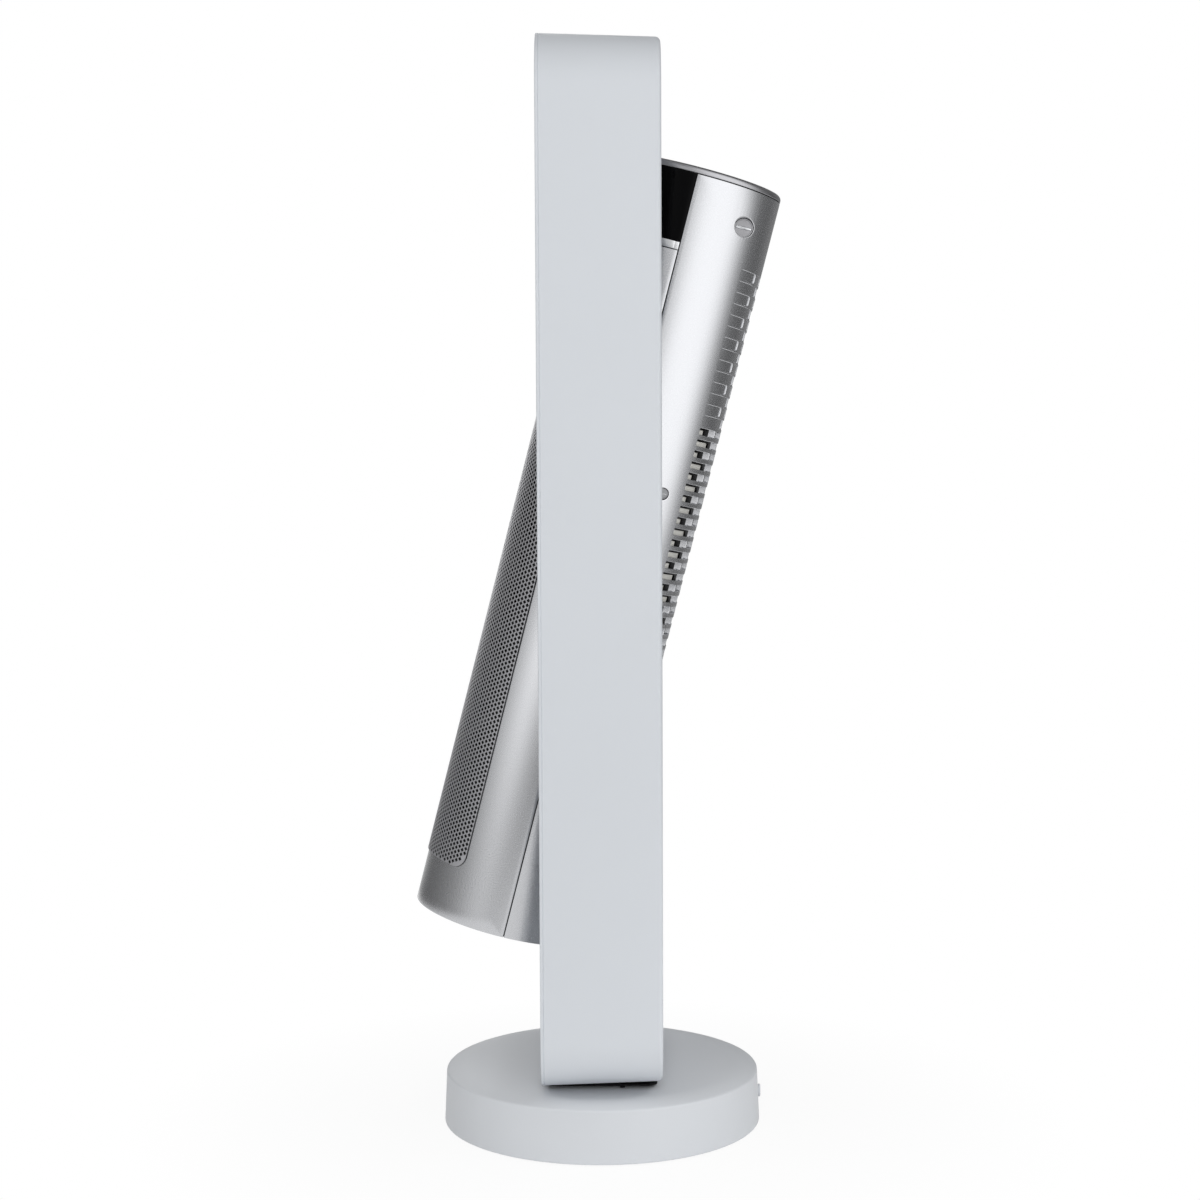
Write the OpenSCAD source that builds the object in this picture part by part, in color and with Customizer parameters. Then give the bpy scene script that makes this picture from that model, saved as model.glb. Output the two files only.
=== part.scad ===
// Tower fan heater: a round heater tube that tilts inside a tall hoop, which turns on a disc base
// Millimetres, +Z up, front towards -Y, origin at the centre of the base on the floor

/* [Base] */
// Diameter of the base disc
base_d = 212; // [200:2:230]
// Height of the base disc above the floor
base_h = 38.5; // [37:0.5:46]
// Rounding of the base's upper edge
base_edge_r = 5.5; // [3:0.5:8]
// Wall of the base shell
base_wall = 3; // [2:0.5:4]
// Gap between the shell's lower rim and the floor
base_floor_gap = 0.8; // [0.5:0.1:1.2]
// Thickness of the plate that closes the base
base_plate_t = 3; // [2.5:0.5:4]
// How far the rubber feet stand out below the plate
foot_proud = 1.5; // [1.3:0.1:2.5]
// Depth of the foot recesses in the plate
foot_recess = 1; // [0.5:0.25:1.5]
// Diameter of one rubber foot
foot_d = 16; // [10:1:20]
// Number of rubber feet
foot_count = 6; // [4:1:8]
// Radial width of the ballast ring
ballast_w = 22; // [16:1:26]
// Height of the ballast ring
ballast_h = 14; // [8:1:18]
// Width of the gap in the ballast ring behind the cable gland
ballast_gap = 34; // [26:2:50]
// Diameter of the screw pillars under the base shell
pillar_d = 9; // [8:0.5:11]
// Gap between the ballast ring and the screw pillars
pillar_gap = 11.5; // [8.5:0.5:14.5]
// Number of screw pillars
pillar_count = 4; // [4:1:4]

/* [Cable gland] */
// Height of the cable gland's axis above the floor
gland_z = 17.7; // [14:0.1:22]
// Diameter of the gland's outer lip
gland_lip_d = 9; // [8:0.5:12]
// How far the lip stands out of the base wall
gland_lip_t = 1; // [0.5:0.25:2]
// Diameter of the hole for the mains lead
gland_bore_d = 6.6; // [5:0.1:6.8]
// Wall of the gland round the lead
gland_wall = 0.7; // [0.5:0.1:0.9]
// How far the gland reaches inward behind the base wall
gland_reach = 7; // [5:0.5:10]

/* [Swivel] */
// Diameter of the swivel spigot that turns in the base
spigot_d = 48; // [44:1:52]
// Diameter of the neck flange below the hoop
neck_flange_d = 68; // [62:1:72]
// Gap between the base's top and the hoop
hoop_gap = 3.2; // [2.8:0.1:5]
// Thickness of the sliding ring under the neck flange
bearing_t = 0.8; // [0.5:0.1:1.2]
// Diameter of the wire passage through the neck
wire_bore_d = 16; // [10:1:18]
// Radius on which the neck screws stand
neck_screw_at = 16; // [15:0.5:17]
// Number of neck screws
neck_screw_count = 4; // [3:1:4]
// Teeth of the swivel gear
gear_teeth = 60; // [60:4:64]
// Teeth of the motor pinion
pinion_teeth = 12; // [12:2:12]
// Face width of the swivel gear and pinion
gear_t = 5; // [3:0.5:6]
// Diameter of the swing motor
motor_d = 49; // [40:1:50]
// Height of the swing motor
motor_h = 19; // [14:1:20]
// Gap between the ballast ring and the swing motor's cradle
motor_gap = 7.45; // [5.45:0.05:9.45]
// Diameter of the pinion shaft
pinion_shaft_d = 7; // [5:0.5:8]

/* [Tip-over switch] */
// Gap between the ballast ring and the tip-over switch
tip_gap = 12; // [9:1:15]
// Length of the switch housing
tip_l = 20; // [18:1:22]
// Width of the switch housing
tip_w = 12; // [11:1:14]
// Height of the switch housing
tip_h = 15; // [14:1:18]
// Diameter of the switch plunger
tip_pin_d = 5; // [4:0.5:6]
// Travel of the plunger when the base is lifted
tip_travel = 4; // [2:0.5:5]

/* [Hoop] */
// Gap between the upright tube's top and the hoop's upper bar
hoop_top_gap = 51.7; // [45:0.1:70]
// Gap between the upright tube's foot and the hoop's lower bar
hoop_foot_gap = 65.3; // [50:0.1:80]
// Depth of the hoop from front to back
hoop_d = 78; // [74:1:90]
// Thickness of the hoop band
hoop_t = 22; // [20:0.5:26]
// Outer corner radius of the hoop at its front edge
hoop_corner_r = 34; // [32:1:42]
// How much narrower the band is at the back than at the front, on each side
hoop_draft = 2.5; // [1:0.1:3.5]
// Rounding of the hoop's rear edges
hoop_edge_r = 4; // [2:0.5:5]
// Wall of the hoop's channel
hoop_wall = 2.6; // [2:0.1:3]
// Thickness of the hoop's front cover
hoop_cover_t = 2; // [1.5:0.25:3]
// Depth of the rim that locates the front cover
hoop_rim = 5; // [3:0.5:8]
// Diameter of the hoop's screw posts
hoop_post_d = 9; // [8:0.5:10]

/* [Pivot] */
// How far the pivot lies above the tube's middle
pivot_offset = 7; // [4:0.5:10]
// Backward lean of the tube as shown
tilt = 14.5; // [0:0.5:30]
// Diameter of the pivot shafts
pivot_d = 18; // [14:1:20]
// Diameter of the wire hole through each pivot shaft
pivot_bore_d = 10; // [6:1:10]
// Diameter of the collar between tube and hoop
collar_d = 30; // [26:1:32]
// Diameter of the flange inside the tube
pivot_flange_d = 44; // [42:1:46]
// Thickness of the flange inside the tube
pivot_flange_t = 4; // [3:0.5:5]
// Thickness of the friction washer
washer_t = 1; // [0.6:0.1:1.4]
// Thickness of the bush flange
bush_flange_t = 1.2; // [1:0.1:2]
// Wall of the bush round the pivot shaft
bush_wall = 3.5; // [2.5:0.5:4]
// Length of the bush inside the hoop
bush_l = 10; // [8:0.5:10]
// Thickness of the clip that holds the shaft
pivot_clip_t = 2; // [1:0.5:2]

/* [Tube] */
// Outer diameter of the heater tube
tube_d = 120; // [116:1:132]
// Length of the heater tube
tube_l = 509; // [505:1:540]
// Gap between the tube and the hoop
side_gap = 16; // [12:0.5:20]
// Wall of the tube's shells
shell_wall = 2.6; // [2.2:0.1:3]
// How far behind the tube's axis the shells meet
seam_y = 2; // [0:0.5:4]
// Width of the seams between outer pieces
seam_gap = 0.4; // [0.2:0.1:0.8]
// Thickness of the top cap
cap_t = 4.3; // [3.5:0.1:6]
// Rounding of the top cap's edge
cap_round = 2; // [1:0.25:2.5]
// Height of the display window
window_h = 44; // [40:0.5:46]
// Height of the trim bar under the window
trim_h = 5; // [3:0.5:8]
// How deep the trim bar's end blocks are set in
trim_inset = 0.6; // [0.3:0.1:1]
// Length of one trim end block
trim_end = 3; // [2:0.5:5]

/* [Outlet] */
// Half angle that the outlet mesh spans about the front
mesh_half_angle = 55; // [50:1:60]
// Half angle that the shell's outlet opening spans
outlet_half_angle = 46; // [40:1:48]
// Distance of the mesh's lower end from the tube's lower end
mesh_s0 = 34.5; // [30:0.5:40]
// Length of the outlet mesh
mesh_l = 326; // [310:1:340]
// Thickness of the mesh sheet
mesh_t = 0.9; // [0.6:0.1:1.5]
// Corner radius of the mesh
mesh_corner_r = 9; // [5:0.5:14]
// How far the shell's opening stays inside the mesh's ends
outlet_margin = 11; // [8:0.5:14]

/* [Rear vents] */
// Half angle that the vents span about the back
vent_half_angle = 42; // [36:1:46]
// Distance of the uppermost vent row below the tube's top
vent_top_drop = 57.5; // [56:0.5:64]
// Distance between vent rows
vent_pitch = 7.4; // [7:0.1:7.6]
// Height of one open slot
vent_h = 4.5; // [3.5:0.1:5]
// Width of the ribs between the open slots of a row
vent_rib = 2; // [1.5:0.1:3]
// Height of one blind cell
cell_h = 6.3; // [5:0.1:6.5]
// Width of the ribs between the blind cells of a row
cell_rib = 1.5; // [1:0.1:3]
// Rows of blind cells
cell_rows = 14; // [12:1:14]
// Rows of open slots below them
slot_rows = 29; // [20:1:29]
// Angle between the ribs of the blind cells
cell_angle = 22; // [20:1:26]
// Angle between the ribs of the open slots
slot_angle = 22; // [20:1:26]
// Depth of the blind cells
cell_depth = 1.4; // [1:0.1:1.6]
// Depth of the fins that carry the slots' ribs inwards
slot_fin_depth = 2.4; // [2:0.1:3]
// Thickness of the dust filter's sheet behind the fins
filter_t = 0.6; // [0.4:0.1:1]

/* [Blower] */
// Distance from the tube's outer face to the inside of the air duct's wall
duct_inset = 18; // [17:0.5:20]
// Wall of the air duct
duct_wall = 2.5; // [2:0.1:3]
// Distance of the duct's lower plate from the tube's lower end
duct_s0 = 132; // [128:1:136]
// Distance of the duct's upper plate below the tube's top
duct_drop = 157; // [153:1:161]
// Thickness of the duct's end plates
duct_plate_t = 3; // [2:0.5:4]
// Drop of the sloping air guide at the duct's foot
guide_drop = 22; // [16:1:26]
// Run of the sloping air guide towards the front
guide_run = 15; // [10:1:16]
// Distance from the tube's outer face to the rim of the blower wheel, across the tube
wheel_inset = 35; // [34:0.5:37]
// Number of blower blades
blade_count = 28; // [20:1:32]
// Thickness of a blower blade
blade_t = 0.9; // [0.6:0.1:1.2]
// Radial depth of a blower blade
blade_depth = 6; // [5:0.25:7]
// Thickness of the blower wheel's discs
wheel_disc_t = 2; // [1.5:0.25:3]
// Diameter of the blower shaft
shaft_d = 6; // [5:0.5:8]
// Diameter of the blower motor
fan_motor_d = 46; // [40:1:52]
// Length of the blower motor
fan_motor_l = 36; // [30:1:44]
// Length of the posts between the motor and the duct
fan_post_l = 16; // [12:1:20]

/* [Heater] */
// Depth of the heater frame from front to back
heater_depth = 13; // [11:0.5:14]
// Width of the heater frame's rails
heater_rail = 8; // [6:0.5:10]
// Number of ceramic heating bars
bar_count = 3; // [2:1:4]
// Thickness of one heating bar
bar_t = 3; // [2:0.25:4]
// Distance between the heater's fins
fin_pitch = 5; // [4:0.25:8]
// Thickness of one fin
fin_t = 0.8; // [0.6:0.1:1]

/* [Electronics and buttons] */
// Height of the control board
control_h = 84; // [70:1:90]
// Thickness of the circuit boards
board_t = 1.6; // [1:0.1:2]
// Width of the display board
display_w = 58; // [50:1:60]
// Number of buttons
button_count = 4; // [4:1:4]
// Distance between the buttons
button_pitch = 16; // [15:0.5:17]
// Diameter of one button
button_d = 11; // [9:0.5:12]
// How far the buttons stand out of the cap
button_proud = 0.8; // [0.4:0.1:1.5]
// Travel of a button
button_travel = 1; // [0.5:0.1:1.2]
// How far in front of the tube's axis the buttons lie
button_y = 12; // [8:1:16]

/* [Fasteners] */
// Diameter of the large plugged recesses at the top of the tube
plug_d = 14; // [12:0.5:15]
// Diameter of the small plugged recesses near the pivot
small_plug_d = 8.4; // [7:0.2:9]
// Distance of the large recesses from the tube's rearmost line
plug_inset = 20.5; // [19:0.5:22]
// Distance of the large recesses below the tube's top
plug_drop = 28; // [26:0.5:30]
// Room between the duct's wall and the small recesses' plugs
small_plug_room = 3.9; // [3.9:0.1:4.6]
// Distance of the small recesses above the pivot
small_plug_rise = 42; // [38:0.5:46]

/* [Clearances] */
// Radial clearance of turning and sliding shafts
run_clear = 0.08; // [0.05:0.01:0.1]
// Clearance round fixed pieces
fit_clear = 0.2; // [0.1:0.05:0.3]
// Clearance between moving and fixed pieces
move_clear = 0.3; // [0.3:0.05:0.5]
// Clearance round screws and in recesses
screw_clear = 0.1; // [0.05:0.05:0.15]

/* [Hidden] */
$fn = 96;

// Overrun of every cut past the face it leaves
over = 1;
// Thread diameter, head diameter and head height of the small screws
screw_d = 3.5;
screw_head_d = 7;
screw_head_h = 1.5;
// Thread diameter of the neck screws
neck_screw_d = 4;
neck_screw_head_h = 2.5;
// Depth to which screws reach into their posts
screw_bite = 10;

// Base levels and radii
base_r = base_d / 2;
plate_z0 = foot_proud;
plate_z1 = plate_z0 + base_plate_t;
base_in_z = base_h - base_wall;
base_in_r = base_r - base_wall;
arc_count = 8;
foot_turn = 30;
ballast_clear = 2;
cradle_h = 4;
cradle_t = 2;
motor_boss_d = 12;
motor_boss_h = 2;
pinion_depth = 9;
tip_pad_d = 8;
tip_pad_t = 1.1;
tip_cup_d = 9;
tip_guide_h = 6;
tip_stop_t = 1.5;
tip_stop_d = 8;

// Swivel levels
spigot_r = spigot_d / 2;
hoop_z0 = base_h + hoop_gap;
flange_z0 = base_h + bearing_t;
gear_z1 = base_in_z - move_clear;
gear_z0 = gear_z1 - gear_t;
// Opening of the gear pair beyond its exact centre distance, and the teeth's thinning
gear_slack = 0.05;
gear_backlash = 0.24;
// The parts inside the ballast ring, out to its inner radius; the gears fill the motor's distance
ballast_in_r = base_in_r - ballast_clear - ballast_w;
gear_at = ballast_in_r - motor_gap - cradle_t - motor_d / 2;
gear_module = 2 * (gear_at - gear_slack) / (gear_teeth + pinion_teeth);
pillar_at = ballast_in_r - pillar_gap - pillar_d / 2;
tip_at = ballast_in_r - tip_gap - tip_l / 2;
pressure_angle = 20;
addendum_share = 0.8;
dedendum_share = 1.15;

// Hoop outline
tube_r = tube_d / 2;
hoop_x0 = tube_r + side_gap;
hoop_x1 = hoop_x0 + hoop_t;
pivot_s = tube_l / 2 + pivot_offset;
pivot_rise = hoop_t + hoop_foot_gap + pivot_s;
hoop_h = pivot_rise + tube_l - pivot_s + hoop_top_gap + hoop_t;
hoop_z1 = hoop_z0 + hoop_h;
hoop_y0 = -hoop_d / 2;
hoop_y1 = hoop_d / 2;
hoop_in_r = hoop_corner_r - hoop_t;
corner_x = hoop_x1 - hoop_corner_r;
corner_z0 = hoop_z0 + hoop_corner_r;
corner_z1 = hoop_z1 - hoop_corner_r;
cover_y1 = hoop_y0 + hoop_cover_t;
edge_count = 5;
cover_bevel = 0.6;
post_mid_x = hoop_x0 + (hoop_t - hoop_draft / 2) / 2;
cup_depth = 5;
cup_sink = 2.5;
// Places of the hoop's screw posts as shares of its straight sides
leg_post_shares = [0.06, 0.34, 0.66, 0.94];
cross_post_shares = [-0.62, 0.62];

// Pivot places, measured from the tube's axis outward
pivot_z = hoop_z0 + pivot_rise;
shell_in_r = tube_r - shell_wall;
duct_w = tube_d - 2 * duct_inset;
duct_x = duct_w / 2;
duct_out_x = duct_x + duct_wall;
flange_x1 = duct_out_x + pivot_flange_t;
bush_x0 = hoop_x0 - bush_flange_t;
washer_x0 = bush_x0 - washer_t;
bush_x1 = hoop_x0 + bush_l;
shaft_x1 = bush_x1 + move_clear + pivot_clip_t;
bush_r = pivot_d / 2 + bush_wall;
bush_flange_r = collar_d / 2 + bush_flange_t;
clip_r = pivot_d / 2 + bush_wall;
pivot_screw_d = 3;
pivot_screw_head_d = 5.4;
pivot_screw_head_h = 2;
pivot_screw_at = (pivot_flange_d - pivot_screw_head_d) / 2 - screw_clear;
pivot_screw_count = 3;

// Levels along the tube
cap_s0 = tube_l - cap_t;
shell_s1 = cap_s0 - seam_gap;
window_s0 = shell_s1 - window_h;
trim_s1 = window_s0;
trim_s0 = trim_s1 - trim_h;
front_s1 = trim_s0 - seam_gap;
rebate_r = shell_in_r - shell_wall;
rebate_lap = 8;
cap_rim_h = 4;
cap_rim_t = 2;
foot_cap_s0 = 1.5;
foot_cap_t = 2.5;
foot_cap_rim = 8;
display_cut_w = 52;
display_cut_h = 24;
display_cut_drop = 10;
display_cut_r = 2;
vent_s1 = tube_l - vent_top_drop;
slot_s1 = vent_s1 - cell_rows * vent_pitch;
slot_s0 = slot_s1 - (slot_rows - 1) * vent_pitch;
filter_margin = 1;

// Duct, heater and wheel
duct_back_y = sqrt(pow(shell_in_r - fit_clear, 2) - pow(duct_out_x, 2)) - fit_clear;
duct_front_y = -duct_back_y;
duct_in_s0 = duct_s0 + duct_plate_t;
duct_s1 = tube_l - duct_drop;
heater_y0 = -sqrt(pow(shell_in_r - fit_clear, 2) - pow(duct_x, 2)) + fit_clear;
heater_y1 = heater_y0 + heater_depth;
heater_s0 = duct_in_s0;
heater_s1 = duct_s1;
wheel_d = tube_d - 2 * wheel_inset;
wheel_r = wheel_d / 2;
wheel_gap = 3;
wheel_y = heater_y1 + wheel_gap + wheel_r;
wheel_end_gap = 3;
wheel_s0 = duct_in_s0 + wheel_end_gap;
wheel_s1 = duct_s1 - wheel_end_gap;
blade_lean = 35;
shaft_r = shaft_d / 2;
bearing_wall = 5;
bearing_lip = 1.5;
motor_s1 = duct_s0 - fan_post_l;
motor_s0 = motor_s1 - fan_motor_l;
fan_boss_d = 14;
fan_boss_h = 4;
fan_post_d = 6;
fan_post_at = fan_motor_d / 2 - fan_post_d / 2 - 2 * screw_clear;
shaft_into_motor = 12;
scroll_gap = 3.5;
scroll_t = 2;
scroll_angle_from = 128;
scroll_angle_to = 232;
tongue_t = 3;
cutout_d = 12;
cutout_h = 5;

// Board places
carrier_y0 = 6;
carrier_t = 2.5;
carrier_y1 = carrier_y0 + carrier_t;
carrier_gap = 7.4;
carrier_w = 2 * (shell_in_r - carrier_gap);
carrier_s0 = duct_s1 + duct_plate_t;
button_top_s = tube_l + button_proud;
button_flange_t = 1;
button_flange_rim = 1.5;
button_stem_d = 4;
button_stem_l = 2.4;
button_flange_s1 = cap_s0 - fit_clear;
button_stem_s0 = button_flange_s1 - button_flange_t - button_stem_l;
key_w = 6;
key_h = 4.4;
key_s1 = button_stem_s0 - button_travel - screw_clear;
button_board_s0 = key_s1 - key_h - board_t;
shelf_t = 2.5;
shelf_s0 = button_board_s0 - shelf_t;
button_board_margin = 10;
button_board_w = (button_count - 1) * button_pitch + 2 * button_board_margin;
button_board_y0 = -button_y - button_board_margin;
button_board_y1 = -button_y + button_board_margin;
control_margin = 11;
control_w = carrier_w - 2 * control_margin;
control_drop = 40;
control_gap = 3.4;
control_y1 = carrier_y0 - control_gap;
control_s1 = shelf_s0 - control_drop;
control_s0 = control_s1 - control_h;
standoff_d = 6;
relay_w = 15;
relay_h = 19;
relay_t = 16;
sink_w = 30;
sink_h = 24;
capacitor_d = 10;
display_h = 34;
display_inset = 18;
display_y = tube_r - display_inset;
display_s1 = cap_s0 - cap_rim_h - screw_clear - move_clear;
digits_w = 36;
digits_h = 16;
digits_t = 8;
display_post_d = 5;

// Plugged recesses; the small ones are as thick as their diameter's share of the large one
plug_s = tube_l - plug_drop;
small_plug_s = pivot_s + small_plug_rise;
cup_wall = 1.6;
cup_floor = 2;
plug_t = 1.7;
plug_dish = 0.7;
plug_flare_share = 1.2;
plug_y = tube_r - plug_inset;
plug_x1 = sqrt(pow(tube_r, 2) - pow(plug_y + plug_d / 2, 2)) - fit_clear;
small_plug_x1 = duct_out_x + small_plug_room;
small_plug_y = sqrt(pow(tube_r, 2) - pow(small_plug_x1 + fit_clear, 2)) - small_plug_d / 2;
plug_head_d = 6;
plug_head_h = 2;
plug_screw_d = 3;
lug_w = 12;
lug_x1 = cup_x(plug_x1, plug_d) - cup_floor - fit_clear;

// Cylinder along X from x0 to x1 at the given place
module bar_x(x0, x1, d, y = 0, z = 0) {
    translate([x0, y, z])
        rotate([0, 90, 0])
            cylinder(h = x1 - x0, d = d);
}

// Cylinder along Y from y0 to y1 at the given place
module bar_y(y0, y1, d, x = 0, z = 0) {
    translate([x, y0, z])
        rotate([-90, 0, 0])
            cylinder(h = y1 - y0, d = d);
}

// Cylinder along Z from z0 to z1 at the given place
module bar_z(z0, z1, d, x = 0, y = 0) {
    translate([x, y, z0])
        cylinder(h = z1 - z0, d = d);
}

// Ring about Z between two radii
module ring_z(z0, z1, r0, r1) {
    translate([0, 0, z0])
        difference() {
            cylinder(h = z1 - z0, r = r1);
            translate([0, 0, -over])
                cylinder(h = z1 - z0 + 2 * over, r = r0);
        }
}

// Box between two corners
module box(a, b) {
    translate(a)
        cube(b - a);
}

// Rectangle with round corners, centred in its width and starting at v0
module round_rect(w, v0, v1, r) {
    translate([-w / 2 + r, v0])
        square([w - 2 * r, v1 - v0]);
    translate([-w / 2, v0 + r])
        square([w, v1 - v0 - 2 * r]);
    for (sx = [-1, 1])
        for (v = [v0 + r, v1 - r])
            translate([sx * (w / 2 - r), v])
                circle(r = r);
}

// Both sides of the object from one side's shape
module both_sides() {
    children();
    mirror([1, 0, 0])
        children();
}

// A ring of copies about Z
module around(count, at, start = 0) {
    for (i = [0:count - 1])
        rotate([0, 0, start + i * 360 / count])
            translate([at, 0, 0])
                children();
}

// From the tube's own frame, with its lower end at zero, to the object's frame
module tube_frame() {
    translate([0, 0, pivot_z])
        rotate([-tilt, 0, 0])
            translate([0, 0, -pivot_s])
                children();
}

// A shape drawn in X and the tube's length, pushed through from y0 to y1
module push_y(y0, y1) {
    translate([0, y1, 0])
        rotate([90, 0, 0])
            linear_extrude(height = y1 - y0)
                children();
}

// Ring of the tube's wall between two levels, kept in front of or behind the seam
module half_wall(s0, s1, r0, r1, front) {
    difference() {
        ring_z(s0, s1, r0, r1);
        if (front)
            box([-tube_d, seam_y - seam_gap / 2, s0 - over], [tube_d, tube_d, s1 + over]);
        else
            box([-tube_d, -tube_d, s0 - over], [tube_d, seam_y + seam_gap / 2, s1 + over]);
    }
}

// Angle that an involute flank turns through between its base circle and a pressure angle
function involute(a) = tan(a) * 180 / PI - a;
// Half angle of a tooth at radius r
function tooth_half(teeth, r) =
    let (pitch_r = gear_module * teeth / 2, base_circle = pitch_r * cos(pressure_angle))
    let (thin = gear_backlash / 4 / pitch_r * 180 / PI)
    let (a = r > base_circle ? acos(base_circle / r) : 0)
    90 / teeth - thin + involute(pressure_angle) - involute(a);
// Outline of a spur gear with a tooth on the X axis
function gear_outline(teeth) =
    let (pitch_r = gear_module * teeth / 2)
    let (root_r = pitch_r - dedendum_share * gear_module, tip_r = pitch_r + addendum_share * gear_module)
    [for (i = [0:teeth - 1], j = [0:7])
        let (k = j < 4 ? j : 7 - j, side = j < 4 ? -1 : 1, r = root_r + (tip_r - root_r) * k / 3)
        let (a = 360 / teeth * i + side * tooth_half(teeth, r))
        [r * cos(a), r * sin(a)]];

// Lathe profile of the base shell
function base_profile() = concat(
    [[spigot_r + run_clear, base_h]],
    [for (i = [0:arc_count])
        let (a = 90 - 90 * i / arc_count)
        [base_r - base_edge_r + base_edge_r * cos(a), base_h - base_edge_r + base_edge_r * sin(a)]],
    [[base_r, base_floor_gap], [base_in_r, base_floor_gap], [base_in_r, base_in_z],
     [spigot_r + run_clear, base_in_z]]);

module base_shell() {
    color("#cfd3d8")
        difference() {
            union() {
                rotate_extrude()
                    polygon(base_profile());
                around(pillar_count, pillar_at, 45)
                    bar_z(plate_z1, base_in_z, pillar_d);
            }
            around(pillar_count, pillar_at, 45)
                bar_z(plate_z1 - over, plate_z1 + screw_bite + over, screw_d + screw_clear);
            bar_y(base_in_r - over, base_r + over, gland_bore_d + 2 * gland_wall + screw_clear, 0, gland_z);
        }
}

module base_plate() {
    color("#8f9297")
        difference() {
            union() {
                bar_z(plate_z0, plate_z1, 2 * (base_in_r - fit_clear));
                translate([gear_at, 0, 0])
                    ring_z(plate_z1, plate_z1 + cradle_h, motor_d / 2 + screw_clear, motor_d / 2 + cradle_t);
            }
            around(foot_count, base_in_r - foot_d, foot_turn)
                bar_z(plate_z0 - over, plate_z0 + foot_recess, foot_d + 2 * screw_clear);
            around(pillar_count, pillar_at, 45) {
                bar_z(plate_z0 - over, plate_z1 + over, screw_d + 2 * screw_clear);
                bar_z(plate_z0 - over, plate_z0 + screw_head_h + screw_clear,
                    screw_head_d + 2 * screw_clear);
            }
            bar_z(plate_z0 - over, plate_z1 + over, tip_pin_d + 2 * move_clear, -tip_at);
        }
}

module ballast_ring() {
    r1 = base_in_r - ballast_clear;
    color("#4b4d50")
        difference() {
            ring_z(plate_z1, plate_z1 + ballast_h, ballast_in_r, r1);
            box([-ballast_gap / 2, 0, plate_z1 - over],
                [ballast_gap / 2, base_r, plate_z1 + ballast_h + over]);
        }
}

module rubber_feet() {
    color("#2b2b2d")
        around(foot_count, base_in_r - foot_d, foot_turn)
            bar_z(0, plate_z0 + foot_recess, foot_d);
}

module base_screws() {
    head_z = plate_z0 + screw_clear;
    color("#b9bcc0")
        around(pillar_count, pillar_at, 45) {
            bar_z(head_z, head_z + screw_head_h, screw_head_d);
            bar_z(head_z + screw_head_h, plate_z1 + screw_bite, screw_d);
        }
}

module cable_gland() {
    body_d = gland_bore_d + 2 * gland_wall;
    color("#d2d5da")
        difference() {
            union() {
                bar_y(base_in_r - gland_reach, base_r, body_d, 0, gland_z);
                bar_y(base_r, base_r + gland_lip_t, gland_lip_d, 0, gland_z);
                bar_y(base_in_r - gland_reach, base_in_r - screw_clear, gland_lip_d + 2 * gland_wall,
                    0, gland_z);
            }
            bar_y(base_in_r - gland_reach - over, base_r + gland_lip_t + over, gland_bore_d, 0, gland_z);
        }
}

module osc_motor() {
    top = plate_z1 + motor_h;
    color("#a9adb2")
        translate([gear_at, 0, 0])
            difference() {
                union() {
                    bar_z(plate_z1, top, motor_d);
                    bar_z(top, top + motor_boss_h, motor_boss_d);
                }
                bar_z(top - pinion_depth, top + motor_boss_h + over, pinion_shaft_d + 2 * run_clear);
            }
}

module osc_pinion() {
    top = plate_z1 + motor_h;
    color("#e8e6df")
        translate([gear_at, 0, 0]) {
            bar_z(top - pinion_depth + move_clear, gear_z1, pinion_shaft_d);
            translate([0, 0, gear_z0])
                rotate([0, 0, 180 / pinion_teeth])
                    linear_extrude(height = gear_t)
                        polygon(gear_outline(pinion_teeth));
        }
}

module tip_switch() {
    color("#26282b")
        difference() {
            box([-tip_at - tip_l / 2, -tip_w / 2, plate_z1],
                [-tip_at + tip_l / 2, tip_w / 2, plate_z1 + tip_h]);
            bar_z(plate_z1 - over, plate_z1 + tip_h, tip_pin_d + 2 * run_clear, -tip_at);
            bar_z(plate_z1 + tip_guide_h, plate_z1 + tip_h - cup_wall, tip_cup_d, -tip_at);
        }
}

module tip_plunger() {
    stop_z = plate_z1 + tip_guide_h + tip_travel;
    color("#c23b2e") {
        bar_z(0, tip_pad_t, tip_pad_d, -tip_at);
        bar_z(tip_pad_t, stop_z, tip_pin_d, -tip_at);
        bar_z(stop_z, stop_z + tip_stop_t, tip_stop_d, -tip_at);
    }
}

module swivel_bearing() {
    color("#efeee9")
        ring_z(base_h, flange_z0, spigot_r + move_clear, neck_flange_d / 2);
}

module neck_holes(z0, z1) {
    around(neck_screw_count, neck_screw_at, 45)
        bar_z(z0 - over, z1 + over, neck_screw_d + 2 * screw_clear);
    bar_z(z0 - over, z1 + over, wire_bore_d);
}

module swivel_neck() {
    color("#1d1e20")
        difference() {
            union() {
                bar_z(gear_z1, flange_z0, spigot_d);
                bar_z(flange_z0, hoop_z0, neck_flange_d);
            }
            neck_holes(gear_z1, hoop_z0);
        }
}

module swivel_gear() {
    color("#e4e2da")
        difference() {
            translate([0, 0, gear_z0])
                linear_extrude(height = gear_t)
                    polygon(gear_outline(gear_teeth));
            neck_holes(gear_z0, gear_z1);
        }
}

module neck_screws() {
    color("#b9bcc0")
        around(neck_screw_count, neck_screw_at, 45) {
            bar_z(gear_z0 - neck_screw_head_h, gear_z0, screw_head_d);
            bar_z(gear_z0, hoop_z0 + hoop_wall + screw_bite, neck_screw_d);
        }
}

// Outer face of the band at depth y, measured from the corner's centre
function band_r(y) = hoop_corner_r - hoop_draft * (y - hoop_y0) / hoop_d;
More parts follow.
